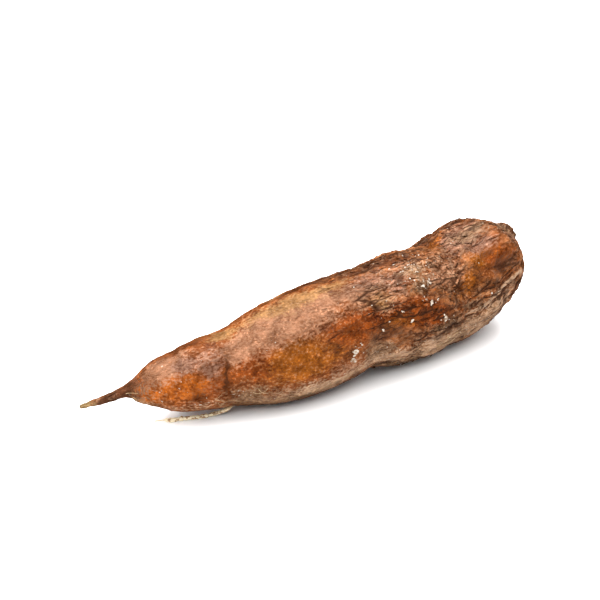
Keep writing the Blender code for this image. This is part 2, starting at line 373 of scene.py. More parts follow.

# %% [markdown]
# The bark isn't one colour. Pink-tan lies along the tops, partly the bark's own colour and
# partly painted sheen. Ochre and orange show where the outer skin has come off. Mauve lies
# here and there, and on the head's top it is partly painted sheen. Rust, grey, pale and dark
# patches lie between; the dark ones on the upper back edge are painted shadow cast by
# neighbouring roots, and the thin dark lines in the front crease are painted shade. Each patch
# is a soft bell placed on the root: (millimetres from the middle, degrees round from the back
# over the top, half length, half breadth, strength), and noise bends its edge. On the side that
# the photograph hides, slow noise lays out long soft patches instead.

# %% Lay out the bark's colour patches
PATCHES = {
    # Pink-tan on the tops is partly the bark's colour and partly painted sheen.
    "pink": (
        (-117, 120, 11, 9, 1.0), (-104, 104, 12, 6, 0.5), (-76, 126, 6, 6, 0.9),
        (-68, 124, 9, 8, 0.7), (-52, 110, 18, 14, 0.9), (-29, 115, 20, 13, 1.05),
        (-12, 194, 16, 6, 0.6), (-4, 111, 16, 9, 0.5), (13, 122, 10, 8, 0.9), (22, 138, 9, 6, 0.8),
        (43, 98, 9, 5, 0.6), (62, 128, 12, 5, 0.6), (74, 124, 14, 14, 0.9), (117, 106, 9, 7, 0.3),
    ),
    "straw": (
        (-128, 205, 7, 4, 0.7), (-76, 86, 6, 5, 1.0), (-52, 88, 22, 6, 0.5), (-22, 94, 22, 7, 0.9),
        (3, 96, 10, 5, 0.4), (19, 133, 9, 6, 0.7),
    ),
    "ochre": (
        (-42, 152, 17, 12, 0.9), (-40, 176, 20, 6, 0.5), (-18, 168, 16, 8, 0.35),
        (28, 162, 12, 5, 0.5), (36, 88, 10, 3, 0.5), (84, 145, 12, 7, 1.2), (93, 79, 13, 5, 1.2),
        (104, 129, 8, 5, 1.2),
    ),
    "orange": (
        (-126, 150, 6, 8, 0.7), (-113, 160, 17, 10, 0.9), (-112, 84, 14, 4, 0.4),
        (-104, 172, 12, 7, 0.3), (-95, 162, 9, 6, 0.6), (-68, 84, 10, 3, 0.5), (117, 138, 5, 5, 0.6),
    ),
    "rust": (
        (-108, 190, 13, 6, 0.4), (-90, 168, 10, 8, 0.8), (-64, 152, 12, 9, 1.1),
        (-64, 198, 16, 6, 0.5), (-8, 146, 18, 8, 0.7), (-2, 158, 14, 8, 0.6), (10, 148, 11, 8, 0.8),
        (30, 150, 12, 7, 1.0), (42, 157, 13, 8, 1.1), (54, 166, 10, 6, 1.0), (116, 140, 7, 6, 0.8),
    ),
    # Mauve on the head's top is partly painted sheen; elsewhere it is the bark's colour.
    "mauve": (
        (-140, 150, 14, 12, 0.9), (-101, 124, 8, 6, 1.0), (-89, 173, 8, 7, 0.2),
        (-88, 146, 5, 5, 0.6), (-86, 122, 7, 6, 0.5), (-60, 200, 22, 7, 0.3), (18, 104, 12, 8, 0.6),
        (35, 118, 13, 10, 0.6), (98, 98, 8, 4, 0.8), (104, 104, 16, 9, 0.7), (110, 86, 14, 8, 0.7),
        (112, 122, 9, 5, 0.5), (116, 154, 8, 6, 0.5), (135, 122, 7, 12, 0.9),
        (152, 126, 7, 18, 1.2),
    ),
    # The dark patches on the upper back edge, at 58 to 84 degrees, are painted shadow cast by
    # neighbouring roots; the thin ones at -80 mm are painted shade in the crease; the rest are dark
    # bark.
    "dark": (
        (-139, 120, 14, 8, 0.6), (-138, 200, 12, 6, 0.5), (-100, 78, 20, 5, 0.7),
        (-99, 189, 4, 4, 0.2), (-96, 177, 8, 6, 0.3), (-85, 160, 5, 6, 0.25),
        (-80.5, 154, 1.3, 10, 0.8), (-80, 196, 2.0, 6, 0.4), (-14, 68, 22, 5, 0.8),
        (-6, 148, 13, 7, 0.2), (13, 176, 10, 4, 0.4), (18, 170, 14, 6, 0.4), (20, 84, 12, 4, 0.5),
        (34, 80, 18, 8, 1.0), (48, 158, 14, 2.0, 0.6), (57, 146, 6, 4, 0.5), (60, 84, 11, 4, 0.35),
        (62, 183, 10, 3, 0.6), (71, 163, 12, 2.5, 0.6), (84, 66, 14, 6, 0.9), (92, 58, 18, 5, 0.9),
        (102, 162, 9, 2, 0.9), (112, 132, 6, 3, 0.6), (116, 152, 7, 7, 0.5), (118, 62, 12, 6, 0.8),
        (120, 199, 4, 3, 0.8), (124, 189, 4, 3, 1.1), (156, 120, 2.0, 14, 0.8),
    ),
    "grey": (
        (-138, 175, 14, 10, 0.7), (-71, 195, 13, 9, 0.6), (-40, 224, 40, 8, 0.7),
        (-36, 202, 26, 8, 0.5), (8, 178, 8, 6, 0.6), (12, 196, 14, 6, 0.8), (47, 133, 7, 5, 0.6),
        (48, 113, 9, 7, 0.8), (50, 228, 44, 9, 0.7), (62, 182, 12, 5, 1.1), (85, 170, 9, 4, 0.5),
        (112, 98, 12, 7, 0.7), (134, 114, 6, 10, 0.7), (153, 130, 6, 18, 1.1),
    ),
    "pale": (
        (-112, 214, 16, 5, 0.3), (-95, 200, 10, 5, 0.3), (-62, 212, 20, 5, 0.2),
        (-22, 206, 22, 6, 0.9), (20, 206, 16, 6, 0.8), (48, 208, 22, 8, 0.9), (52, 110, 7, 5, 0.5),
        (68, 205, 18, 9, 1.2), (88, 206, 16, 6, 0.9), (100, 190, 16, 7, 1.1), (152, 134, 4, 14, 0.7),
    ),
}
PATCH_BEND_LENGTH, PATCH_BENDS_ROUND, PATCH_BEND_ALONG, PATCH_BEND_ROUND = 0.011, 22.0, 0.0036, 0.0028
BEND_LENGTH, BENDS_ROUND = 0.020, 18.0
HIDDEN_LENGTH, HIDDEN_ROUND, HIDDEN_LEVEL, HIDDEN_STRENGTH = 0.060, 9.0, 0.08, 0.6
STRONGEST_PATCH, COVERED = 1.2, 0.4
SEEN_MIDDLE, SEEN_HALF_WIDTH = math.radians(140), math.radians(82)

bend_x = PATCH_BEND_ALONG * over_skin(PATCH_BEND_LENGTH, PATCH_BENDS_ROUND, 101.0)
bend_round = PATCH_BEND_ROUND * over_skin(PATCH_BEND_LENGTH, PATCH_BENDS_ROUND, 151.0)
bend = over_skin(BEND_LENGTH, BENDS_ROUND, 41.0)
off_seen = np.abs(turn_between(ANGLE, SEEN_MIDDLE)) + 0.3 * bend
unseen = ramp(off_seen, SEEN_HALF_WIDTH * 0.85, SEEN_HALF_WIDTH * 1.1)


def lay_patches(patches, place):
    """The sum of the patches' bells on the bent skin, plus slow noise on the unseen side."""
    total = np.zeros((ROWS, COLUMNS))
    for x, degrees, half_length, half_breadth, strength in patches:
        length_off = (X + bend_x - x / 1000) / (half_length / 1000)
        breadth_off = turn_between(ANGLE, math.radians(degrees)) * RADIUS + bend_round
        total += strength * np.exp(-(length_off**2) - (breadth_off / (half_breadth / 1000)) ** 2)
    hidden = over_skin(HIDDEN_LENGTH, HIDDEN_ROUND, place)
    slow = HIDDEN_STRENGTH * unseen * ramp(hidden, HIDDEN_LEVEL, HIDDEN_LEVEL + 0.9)
    return np.clip(total, 0.0, STRONGEST_PATCH) + slow


patch = {name: lay_patches(patches, 200.0 + 9 * k) for k, (name, patches) in enumerate(PATCHES.items())}
for name, field in patch.items():
    print(name, "covers", round(100 * float((field > COVERED).mean()), 1), "% of the skin")

# %% [markdown]
# Close up, the bark is split into plates. Cell noise gives their outlines: the cells are long
# and narrow, because the bark splits along the root as it swells, and the noise bends them.
# Each plate tilts a little its own way, which gives the shingled look, and a groove runs
# between plates. On the smooth lobes the plates fade out and only grain is left. Low on the
# head, fine streaks run along the pale bark, and one long ridge crosses the end of the head.

# %% The fine relief that only the skin has
PLATE_LENGTH, PLATES_ROUND = 0.0072, 58.0
PLATE_TILT, PLATE_STEP, GROOVE_DEPTH, GROOVE_SHARE = 0.00050, 0.00024, 0.00030, 0.18
BEND_ALONG, BEND_ROUND = 0.0045, 0.050
CRACK_LENGTH, CRACKS_ROUND, CRACK_DEPTH, CRACK_HALF_WIDTH = 0.020, 26.0, 0.00055, 0.055
GRAIN_SIZE, GRAIN_HEIGHT = 0.0026, 0.00022
PEBBLE_SIZE, PEBBLE_HEIGHT = 0.0052, 0.00030
FIELD_LENGTH, FIELDS_ROUND = 0.030, 7.0
BROW_STARTS, BROW_ANGLE, BROW_REACH = (0.088, 0.106), math.radians(146), 0.55
WAIST_AT, WAIST_HALF_WIDTH = 0.034, 0.024

share = np.minimum(RADIUS / FULL_RELIEF_RADIUS, 1.0)
turn_bend = over_skin(BEND_LENGTH, BENDS_ROUND, 83.0)
bent_skin, bent_angle = SKIN + BEND_ALONG * bend, ANGLE + BEND_ROUND * turn_bend

patchy = over_skin(FIELD_LENGTH, FIELDS_ROUND, 59.0)
roughness_along = smooth_through(ROUGH_PLACES, ROUGH_SHARES, X)
smooth_brow = ramp(X, *BROW_STARTS) * bell(turn_between(ANGLE, BROW_ANGLE), BROW_REACH)
split_waist = bell(X - WAIST_AT, WAIST_HALF_WIDTH)
CALM = np.clip(patch["ochre"] + patch["orange"] + 0.5 * patch["straw"], 0.0, 1.0)
flakiness = roughness_along + 0.40 * patchy + 0.25 * split_waist
flakiness -= 0.30 * CALM + 0.42 * patch["pale"] + 0.45 * smooth_brow
FLAKY = ramp(flakiness, 0.25, 0.95)

border, plate, away = round_the_root(
    noise.cells, bent_skin, bent_angle, PLATE_LENGTH, PLATES_ROUND, 5.0)
away_round = away[..., 2] * np.cos(ANGLE) - away[..., 1] * np.sin(ANGLE)
lean = 2 * math.pi * plate * 7
groove = 1.0 - ramp(border, 0.0, GROOVE_SHARE)
climb = away[..., 0] * np.cos(lean) + away_round * np.sin(lean)
plates = PLATE_TILT * climb + PLATE_STEP * (plate - 0.5) - GROOVE_DEPTH * groove
crack_line = round_the_root(noise.hills, bent_skin, bent_angle, CRACK_LENGTH, CRACKS_ROUND, 71.0)
cracked = FLAKY * ramp(patchy, -0.10, 0.35) * bell(crack_line, CRACK_HALF_WIDTH)

STREAK_LENGTH, STREAKS_ROUND, STREAK_HALF_WIDTH = 0.034, 58.0, 0.10
RIDGE_FROM, RIDGE_TO, RIDGE_HALF_WIDTH, RIDGE_HEIGHT = (0.080, 178.5), (0.123, 172.5), 0.0011, 0.0006
streak_angle = ANGLE + 0.5 * BEND_ROUND * turn_bend
streak_line = round_the_root(noise.hills, SKIN, streak_angle, STREAK_LENGTH, STREAKS_ROUND, 131.0)
streaked = np.clip(patch["pale"], 0.0, 1.0) * ramp(roughness_along, 0.4, 0.8)
streaked = streaked * bell(streak_line, STREAK_HALF_WIDTH)
ridge_angle = np.radians(np.interp(X, (RIDGE_FROM[0], RIDGE_TO[0]), (RIDGE_FROM[1], RIDGE_TO[1])))
ridge_off = turn_between(ANGLE, ridge_angle) * RADIUS + 0.4 * bend_round
long_ridge = bell(ridge_off, RIDGE_HALF_WIDTH) * ramp(X, RIDGE_FROM[0] - 0.006, RIDGE_FROM[0])
long_ridge = long_ridge * (1.0 - ramp(X, RIDGE_TO[0], RIDGE_TO[0] + 0.005))
patch["pale"] = np.maximum(patch["pale"], 1.3 * long_ridge)
print("plates cover", round(100 * float(FLAKY.mean())), "% of the skin")

# %% Add the grain, and find every point of the skin
TAIL_ENDS, NECK_STARTS = (-0.134, -0.124), (0.145, 0.149)
KNOB_SIZE, KNOB_HEIGHT = 0.0032, 0.00045
TAIL_RIDGES, TAIL_RIDGE_HEIGHT, TAIL_TWIST = 5, 0.00028, 60


def place_on_section(reach):
    """Points at that reach from the middle line: middle + reach (cos a side + sin a up)."""
    sideways = np.cos(ANGLE)[..., None] * row_side[:, None]
    upwards = np.sin(ANGLE)[..., None] * row_up[:, None]
    return row_middle[:, None] + np.asarray(reach)[..., None] * (sideways + upwards)


plain = np.moveaxis(place_on_section(RADIUS + 0 * ANGLE), -1, 0)
grain = noise.hills(*plain / GRAIN_SIZE)
pebbles = noise.rough_hills(*plain / PEBBLE_SIZE, layers=2)
knobs = noise.rough_hills(*plain / KNOB_SIZE, layers=2)
thin = 1.0 - ramp(X, *TAIL_ENDS) + ramp(X, *NECK_STARTS)

big = big_relief(X, ANGLE, RADIUS)
splits = CRACK_DEPTH * np.maximum(cracked, 0.5 * streaked)
fine_relief = share * (FLAKY * plates - splits + RIDGE_HEIGHT * long_ridge)
fine_relief += (1.0 - thin) * (PEBBLE_HEIGHT * pebbles + GRAIN_HEIGHT * grain)
tail_ridges = TAIL_RIDGE_HEIGHT * np.cos(TAIL_RIDGES * ANGLE + TAIL_TWIST * X)
fine_relief += thin * (KNOB_HEIGHT * knobs + tail_ridges)

skin = place_on_section((RADIUS + big + fine_relief) * row_share[:, None])
skin += (row_push[:, None] * row_along)[:, None]
skin[..., 2] = np.maximum(skin[..., 2], 0.0)
tip = row_middle[0] - TIP_ROUNDING * row_along[0]
neck_hub = row_middle[-1] + RIM_PUSHES[-1] * row_along[-1]
lowest, highest = fine_relief.min() * 1000, fine_relief.max() * 1000
print("fine relief is", np.round(lowest, 2), "to", np.round(highest, 2), "mm")

# %% [markdown]
# A grid becomes a closed skin when its last column joins its first and a fan of triangles
# closes each end. Each face lists its corners anticlockwise as seen from outside, which makes
# it face outwards. The same few helpers make every other piece here too.

# %% Helpers that turn grids into pieces


def closed_grid_faces(rows, columns):
    """Quads between neighbouring rows, with the columns joined in a ring, then a fan at each
    end round two last points: the first row's hub and the last row's hub."""
    row, column = np.meshgrid(np.arange(rows - 1), np.arange(columns), indexing="ij")
    here, after = row * columns + column, row * columns + (column + 1) % columns
    quads = np.stack([here, after, after + columns, here + columns], axis=-1).reshape(-1, 4)
    ring = np.arange(columns)
    onward, last = (ring + 1) % columns, (rows - 1) * columns
    first_fan = np.stack([onward, ring, np.full(columns, rows * columns)], axis=-1)
    last_fan = np.stack([last + ring, last + onward, np.full(columns, rows * columns + 1)], axis=-1)
    return quads, np.concatenate([first_fan, last_fan])


def many_grids(points, first_hubs, last_hubs):
    """Stacks many closed grids, given as (piece, row, column, xyz), into one list of points
    and faces, with each piece's corner numbers moved on by the points before it."""
    pieces, rows, columns, _ = points.shape
    size = rows * columns + 2
    quads, fans = closed_grid_faces(rows, columns)
    moved = np.arange(pieces)[:, None, None] * size
    hubs = np.stack([first_hubs, last_hubs], axis=1)
    together = np.concatenate([points.reshape(pieces, -1, 3), hubs], axis=1)
    return together.reshape(-1, 3), (quads + moved).reshape(-1, 4), (fans + moved).reshape(-1, 3)


def make_piece(name, points, quads, fans, material, values=None):
    """A smooth-shaded mesh object at the origin, with its place in its points, and with one
    named attribute for each array of values."""
    mesh = bpy.data.meshes.new(name)
    mesh.from_pydata(points.tolist(), [], quads.tolist() + fans.tolist())
    mesh.shade_smooth()
    for title, column in (values or {}).items():
        kind, field = ("FLOAT_VECTOR", "vector") if np.ndim(column) == 2 else ("FLOAT", "value")
        attribute = mesh.attributes.new(title, kind, "POINT")
        attribute.data.foreach_set(field, np.ravel(column).astype(np.float32))
    mesh.materials.append(material)
    piece = add_object(name, mesh)
    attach(piece, BODY)
    print(name, "has", len(quads) * 2 + len(fans), "triangles")
    return piece


def smoothed(field, passes):
    """Each value mixed with its four neighbours, again and again; the columns join up."""
    for _ in range(passes):
        sides = (np.roll(field, 1, 1) + np.roll(field, -1, 1)) / 2
        longer = np.concatenate([field[:1], field, field[-1:]])
        field = field / 2 + (sides + (longer[:-2] + longer[2:]) / 2) / 4
    return field


# %% [markdown]
# Colour follows form on bark: what is sunk is darkened as painted shade, and what stands up is
# paled, partly as wear and partly as painted highlight. So two values are measured on the skin
# itself: how far each point lies under its neighbourhood, and how far above. A third gives each
# plate its own shade of colour.

# %% Measure what is sunk and what stands up
NEAR_PASSES, WIDE_PASSES = 10, 90
NEAR_DEPTH, WIDE_DEPTH = 0.00032, 0.0011

height = big + fine_relief
near_rise = (height - smoothed(height, NEAR_PASSES)) / NEAR_DEPTH
wide_rise = (height - smoothed(height, WIDE_PASSES)) / WIDE_DEPTH
# sunk later darkens the colour: painted shade in hollows, grooves and streaks.
sunk = (0.28 + 0.72 * FLAKY) * np.clip(-0.80 * near_rise - 0.20 * wide_rise, 0.0, 1.0)
sunk = np.clip(np.maximum(sunk, 0.45 * groove * FLAKY**1.5) + 0.45 * streaked - long_ridge, 0.0, 1.0)
# raised later pales the colour: partly wear, partly painted highlight on ridges and plate rims.
raised = np.clip(0.70 * near_rise + 0.40 * wide_rise + long_ridge, 0.0, 1.0)
raised = np.maximum(raised, ramp(climb, 0.10, 0.42) * (1.0 - groove) * FLAKY)
plate_shade = 0.5 + (plate - 0.5) * FLAKY
print("sunk", round(float(sunk.mean()), 2), "raised", round(float(raised.mean()), 2))

# %% [markdown]
# A material in Blender is a small network of nodes. To build networks in code, one helper adds
# a node and fills its inputs, and the rest are short names for the kinds used most. A value
# that is a socket is wired, and a plain number is set.

# %% Helpers for node networks


class Wiring:
    """Adds nodes to one node tree. Each helper gives back the new node's outputs, or one."""

    def __init__(self, tree):
        self.tree = tree

    def fill(self, node, inputs):
        """Wires or sets the node's inputs; a plain colour is given its alpha of 1."""
        for name, value in inputs.items():
            socket = node.inputs[name]
            if isinstance(value, bpy.types.NodeSocket):
                self.tree.links.new(value, socket)
            else:
                socket.default_value = (*value, 1) if socket.type == "RGBA" else value
        return node.outputs

    def add(self, kind, inputs=None, **settings):
        node = self.tree.nodes.new("ShaderNode" + kind)
        for name, value in settings.items():
            setattr(node, name, value)
        return self.fill(node, inputs or {})

    def group(self, name, inputs):
        return self.add("Group", inputs, node_tree=bpy.data.node_groups[name])

    def math(self, operation, *values):
        return self.add("Math", dict(enumerate(values)), operation=operation)[0]

    def plus(self, first, second):
        return self.math("ADD", first, second)

    def times(self, first, second):
        return self.math("MULTIPLY", first, second)

    def larger(self, first, second):
        return self.math("MAXIMUM", first, second)

    def drawn_in(self, value, share):
        """A value from 0 to 1, drawn in towards a half: 1/2 + (value - 1/2) share."""
        return self.math("MULTIPLY_ADD", self.math("SUBTRACT", value, 0.5), share, 0.5)

    def vector(self, operation, first, second):
        return self.add("VectorMath", {0: first, 1: second}, operation=operation)[0]

    def dot(self, first, second):
        return self.add("VectorMath", {0: first, 1: second}, operation="DOT_PRODUCT")["Value"]

    def scale(self, colour, factor):
        return self.add("VectorMath", {0: colour, 3: factor}, operation="SCALE")[0]

    def mix(self, share, low, high):
        inputs = {0: share, 6: low, 7: high}
        return self.add("Mix", inputs, data_type="RGBA", clamp_factor=True)[2]

    def ramp(self, value, low, high, to_low=0.0, to_high=1.0):
        inputs = {0: value, 1: low, 2: high, 3: to_low, 4: to_high}
        return self.add("MapRange", inputs, interpolation_type="SMOOTHSTEP")[0]

    def noise(self, place, scale, detail, **more):
        return self.add("TexNoise", {"Vector": place, "Scale": scale, "Detail": detail, **more})

    def cells(self, place, **settings):
        return self.add("TexVoronoi", {"Vector": place, "Scale": 1.0}, **settings)

    def attribute(self, name, output="Fac"):
        return self.add("Attribute", attribute_name=name)[output]


def new_group(name, inputs, outputs):
    """An empty node group with named sockets; returns its wiring and what its inputs give."""
    group = bpy.data.node_groups.new(name, "ShaderNodeTree")
    for title, kind in inputs.items():
        group.interface.new_socket(title, in_out="INPUT", socket_type="NodeSocket" + kind)
    for title in outputs:
        group.interface.new_socket(title, in_out="OUTPUT", socket_type="NodeSocketFloat")
    return Wiring(group), group.nodes.new("NodeGroupInput").outputs


def finish_group(wiring, results):
    """Wires each result to the group's output of that name."""
    wiring.fill(wiring.tree.nodes.new("NodeGroupOutput"), results)
    print("made the group", wiring.tree.name)


def new_material(name):
    material = bpy.data.materials.new(name)
    material.use_nodes = True
    return Wiring(material.node_tree), material.node_tree.nodes["Principled BSDF"], material


def finish_material(wiring, shader, colour, roughness, relief, strength, distance):
    """Wires a finish's colour, its roughness, and its relief as a bump of that strength, with
    that distance in metres between the relief's 0 and 1."""
    bump = wiring.add("Bump", {"Strength": strength, "Distance": distance, "Height": relief})
    wiring.fill(shader, {"Base Color": colour, "Roughness": roughness, "Normal": bump[0]})


def bark_grain(wiring, place, grain_size, stretch):
    """The shared bark grain that the next cell makes, at one size."""
    return wiring.group("bark grain", {"Place": place, "Grain Size": grain_size, "Stretch": stretch})


def set_gloss(shader, specular, coat, coat_roughness):
    """The numbers that are the same all over a finish go straight onto the shader's sockets."""
    shader.inputs["Specular IOR Level"].default_value = specular
    shader.inputs["Coat Weight"].default_value = coat
    shader.inputs["Coat Roughness"].default_value = coat_roughness


# %% [markdown]
# All dry bark has the same three small effects: grains a millimetre or two across, slow
# mottling, and hair cracks that run lengthwise. They are one node group, so that the skin, the
# flakes and the rootlets share them at their own sizes. Its Place input is a position in
# metres. The bark gives its place on the straightened root, with x along the skin, so a stretch
# in x follows the root.

# %% The shared group: bark grain
wiring, given = new_group(
    "bark grain", {"Place": "Vector", "Grain Size": "Float", "Stretch": "Float"},
    ("Grain", "Mottle", "Crack"))
apart = wiring.add("SeparateXYZ", {0: given["Place"]})
shorter = wiring.math("DIVIDE", apart[0], given["Stretch"])
stretched = wiring.add("CombineXYZ", {0: shorter, 1: apart[1], 2: apart[2]})[0]
scaled = wiring.scale(stretched, wiring.math("DIVIDE", 1.0, given["Grain Size"]))
grains = wiring.noise(scaled, 1.0, 2.5, Roughness=0.6)[0]
mottle = wiring.noise(scaled, 0.21, 4.0, Roughness=0.6)[0]
shifted = wiring.vector("ADD", scaled, wiring.noise(scaled, 0.5, 2.0)[1])
narrow = wiring.vector("MULTIPLY", shifted, (0.26, 0.62, 0.62))
to_edge = wiring.cells(narrow, feature="DISTANCE_TO_EDGE")[0]
finish_group(wiring, {
    "Grain": wiring.ramp(grains, 0.32, 0.68),
    "Mottle": wiring.ramp(mottle, 0.34, 0.66),
    "Crack": wiring.ramp(to_edge, 0.0, 0.10, 1.0, 0.0),
})

# %% [markdown]
# Bark that splits lengthwise turns into small lapping scales, finer than the mesh can carry.
# Cell noise gives them: the way from a cell's middle, measured against a slanting
# direction, is a height that rises across each scale and drops at its edge. That one value
# gives the bump its step, the high rim its pale colour, partly wear and partly painted
# highlight, and the gap below it its painted shadow.

# %% The shared group: lapping scales
wiring, given = new_group(
    "lapping scales", {"Place": "Vector", "Scale Length": "Float", "Scale Width": "Float"},
    ("Rise", "Rim", "Gap", "Shade"))
apart = wiring.add("SeparateXYZ", {0: given["Place"]})
sizes = (given["Scale Length"], given["Scale Width"], given["Scale Width"])
shares = [wiring.math("DIVIDE", apart[axis], size) for axis, size in enumerate(sizes)]
unbent = wiring.add("CombineXYZ", dict(enumerate(shares)))[0]
bends = wiring.vector("ADD", wiring.noise(unbent, 0.7, 3.0)[1], (-0.5, -0.5, -0.5))
bent = wiring.vector("ADD", unbent, wiring.scale(bends, 1.3))
cell = wiring.cells(bent)
to_edge = wiring.cells(bent, feature="DISTANCE_TO_EDGE")[0]
slant = wiring.vector("ADD", cell["Color"], (-1.3, -0.5, -0.1))
rise = wiring.dot(wiring.vector("SUBTRACT", bent, cell["Position"]), slant)
gap = wiring.ramp(to_edge, 0.0, 0.11, 1.0, 0.0)
finish_group(wiring, {
    "Rise": rise,
    # Rim: pale edge, partly wear and partly painted highlight. Gap: painted shadow below it.
    "Rim": wiring.times(wiring.ramp(rise, 0.12, 0.45), wiring.math("SUBTRACT", 1.0, gap)),
    "Gap": wiring.times(gap, wiring.ramp(rise, -0.35, 0.05, 1.0, 0.25)),
    "Shade": wiring.add("SeparateColor", {0: cell["Color"]})[2],
})

# %% [markdown]
# Dry earth and torn cork leave tiny pale specks. Cell noise scatters them: every cell has a
# random shade, only the cells under the Amount keep their speck, and the distance to the
# cell's middle gives the speck its edge.

# %% The shared group: dry specks
wiring, given = new_group(
    "dry specks", {"Place": "Vector", "Speck Size": "Float", "Amount": "Float"}, ("Mask",))
scaled = wiring.scale(given["Place"], wiring.math("DIVIDE", 0.4, given["Speck Size"]))
ragged = wiring.vector("ADD", scaled, wiring.noise(scaled, 2.2, 2.0)[1])
specks = wiring.cells(ragged)
chance = wiring.add("SeparateColor", {0: specks["Color"]})[0]
chosen = wiring.math("LESS_THAN", chance, given["Amount"])
round_speck = wiring.ramp(specks["Distance"], 0.16, 0.34, 1.0, 0.0)
finish_group(wiring, {"Mask": wiring.times(chosen, round_speck)})

# %% [markdown]
# The bark's own material lays its colours on as a painter would, one over another: brown grain
# first, redder on the smooth lobes than on the flaky head, then each patch with its edge broken
# by the grain. Over them go the plates' own shades, a stipple of brighter pore specks that also
# stand in for painted glints, pale rims that are partly wear and partly painted highlight, sunk
# bark darkened and deep red-brown crevices, both painted shade, and dry specks. Each pair of
# colours below is the darkest and the lightest tone of a grain. A trace of clear coat gives the
# waxy gloss.

# %% The bark material
SMOOTH_BROWN = ((0.042, 0.008, 0.001), (0.205, 0.050, 0.005))
FLAKY_BROWN = ((0.068, 0.016, 0.002), (0.305, 0.114, 0.038))
CUT_WOOD = ((0.110, 0.070, 0.030), (0.270, 0.170, 0.074))
# The crevice colour and the depth tint are painted shade; the pale wear colour and its gain make rims
# that are partly wear and partly painted highlight; the pore gain brightens specks that are partly the
# bark's own and partly painted glints.
CREVICE, WEAR_AND_HIGHLIGHT, SPECK = (0.032, 0.009, 0.002), (0.335, 0.200, 0.120), (0.460, 0.370, 0.290)
DEPTH_TINT, WEAR_AND_HIGHLIGHT_GAIN, PORE_AND_GLINT_GAIN = (0.42, 0.28, 0.14), 1.5, 2.1
LAYERS = {
    "rust": ((0.040, 0.007, 0.001), (0.245, 0.050, 0.003)),
    "ochre": ((0.080, 0.019, 0.001), (0.268, 0.075, 0.003)),
    "orange": ((0.092, 0.017, 0.001), (0.380, 0.092, 0.005)),
    # pink: partly the bark's colour, partly painted sheen along the tops
    "pink": ((0.104, 0.036, 0.012), (0.300, 0.143, 0.079)),
    "straw": ((0.106, 0.045, 0.012), (0.285, 0.143, 0.053)),
    # mauve: partly painted sheen on the head's top
    "mauve": ((0.086, 0.032, 0.015), (0.255, 0.128, 0.082)),
    "grey": ((0.068, 0.031, 0.012), (0.222, 0.126, 0.068)),
    "pale": ((0.165, 0.082, 0.038), (0.405, 0.258, 0.162)),
    # dark: partly dark bark, partly painted shadow and painted shade in the crease
    "dark": ((0.022, 0.006, 0.001), (0.088, 0.024, 0.006)),
}

wiring, shader, bark_material = new_material("root bark")
place = wiring.attribute("bark_place", "Vector")
fine_bark = bark_grain(wiring, place, 0.0015, 1.2)
broad_bark = bark_grain(wiring, place, 0.0042, 2.0)
scales = wiring.group("lapping scales", {"Place": place, "Scale Length": 0.0064, "Scale Width": 0.0030})
flaky = wiring.ramp(wiring.attribute("flaky"), 0.05, 0.75, 0.12, 1.0)


def smooth_to_flaky(on_smooth, on_flaky):
    """A number that goes from its value on smooth bark to its value on flaky bark."""
    return wiring.ramp(flaky, 0.0, 1.0, on_smooth, on_flaky)


grit = wiring.math("SUBTRACT", wiring.times(fine_bark["Grain"], 0.9), 0.45)
tone = wiring.times(broad_bark["Grain"], 0.20)
tone = wiring.plus(tone, wiring.times(fine_bark["Grain"], 0.45))
tone = wiring.plus(tone, wiring.times(fine_bark["Mottle"], 0.35))
tone = wiring.drawn_in(tone, smooth_to_flaky(0.95, 0.85))
colour = wiring.mix(flaky, wiring.mix(tone, *SMOOTH_BROWN), wiring.mix(tone, *FLAKY_BROWN))
for name, shades in LAYERS.items():
    torn = wiring.plus(wiring.attribute(name), wiring.times(grit, 0.5))
    cover = wiring.times(wiring.ramp(torn, 0.10, 0.70), 0.95)
    colour = wiring.mix(cover, colour, wiring.mix(tone, *shades))

shade = wiring.plus(wiring.attribute("plate_shade"), wiring.times(scales["Shade"], 0.35))
shade = wiring.plus(shade, wiring.times(fine_bark["Mottle"], 0.55))
shade = wiring.drawn_in(wiring.ramp(shade, 0.25, 1.65), smooth_to_flaky(0.50, 0.90))
colour = wiring.scale(colour, wiring.plus(shade, smooth_to_flaky(0.50, 0.48)))
# Brighter pore specks: partly the bark's own, partly painted glints.
pores_and_glints = wiring.group("dry specks", {"Place": place, "Speck Size": 0.00085, "Amount": 0.42})
stipple = wiring.times(pores_and_glints["Mask"], smooth_to_flaky(0.62, 0.28))
colour = wiring.mix(stipple, colour, wiring.scale(colour, PORE_AND_GLINT_GAIN))

# Pale rims on raised bark and on scale edges: partly wear, partly painted highlight.
wear_and_highlight_mask = wiring.times(wiring.attribute("raised"), wiring.ramp(fine_bark["Grain"], 0.1, 0.7))
wear_and_highlight_mask = wiring.larger(wear_and_highlight_mask, wiring.times(scales["Rim"], flaky))
wear_and_highlight_colour = wiring.mix(wiring.attribute("dry"), wiring.scale(colour, WEAR_AND_HIGHLIGHT_GAIN), WEAR_AND_HIGHLIGHT)
colour = wiring.mix(wiring.times(wear_and_highlight_mask, 0.55), colour, wear_and_highlight_colour)
open_here = wiring.ramp(broad_bark["Mottle"], 0.20, 0.70, 0.25, 0.95)
crack = wiring.larger(broad_bark["Crack"], scales["Gap"])
crack = wiring.times(crack, wiring.times(flaky, open_here))
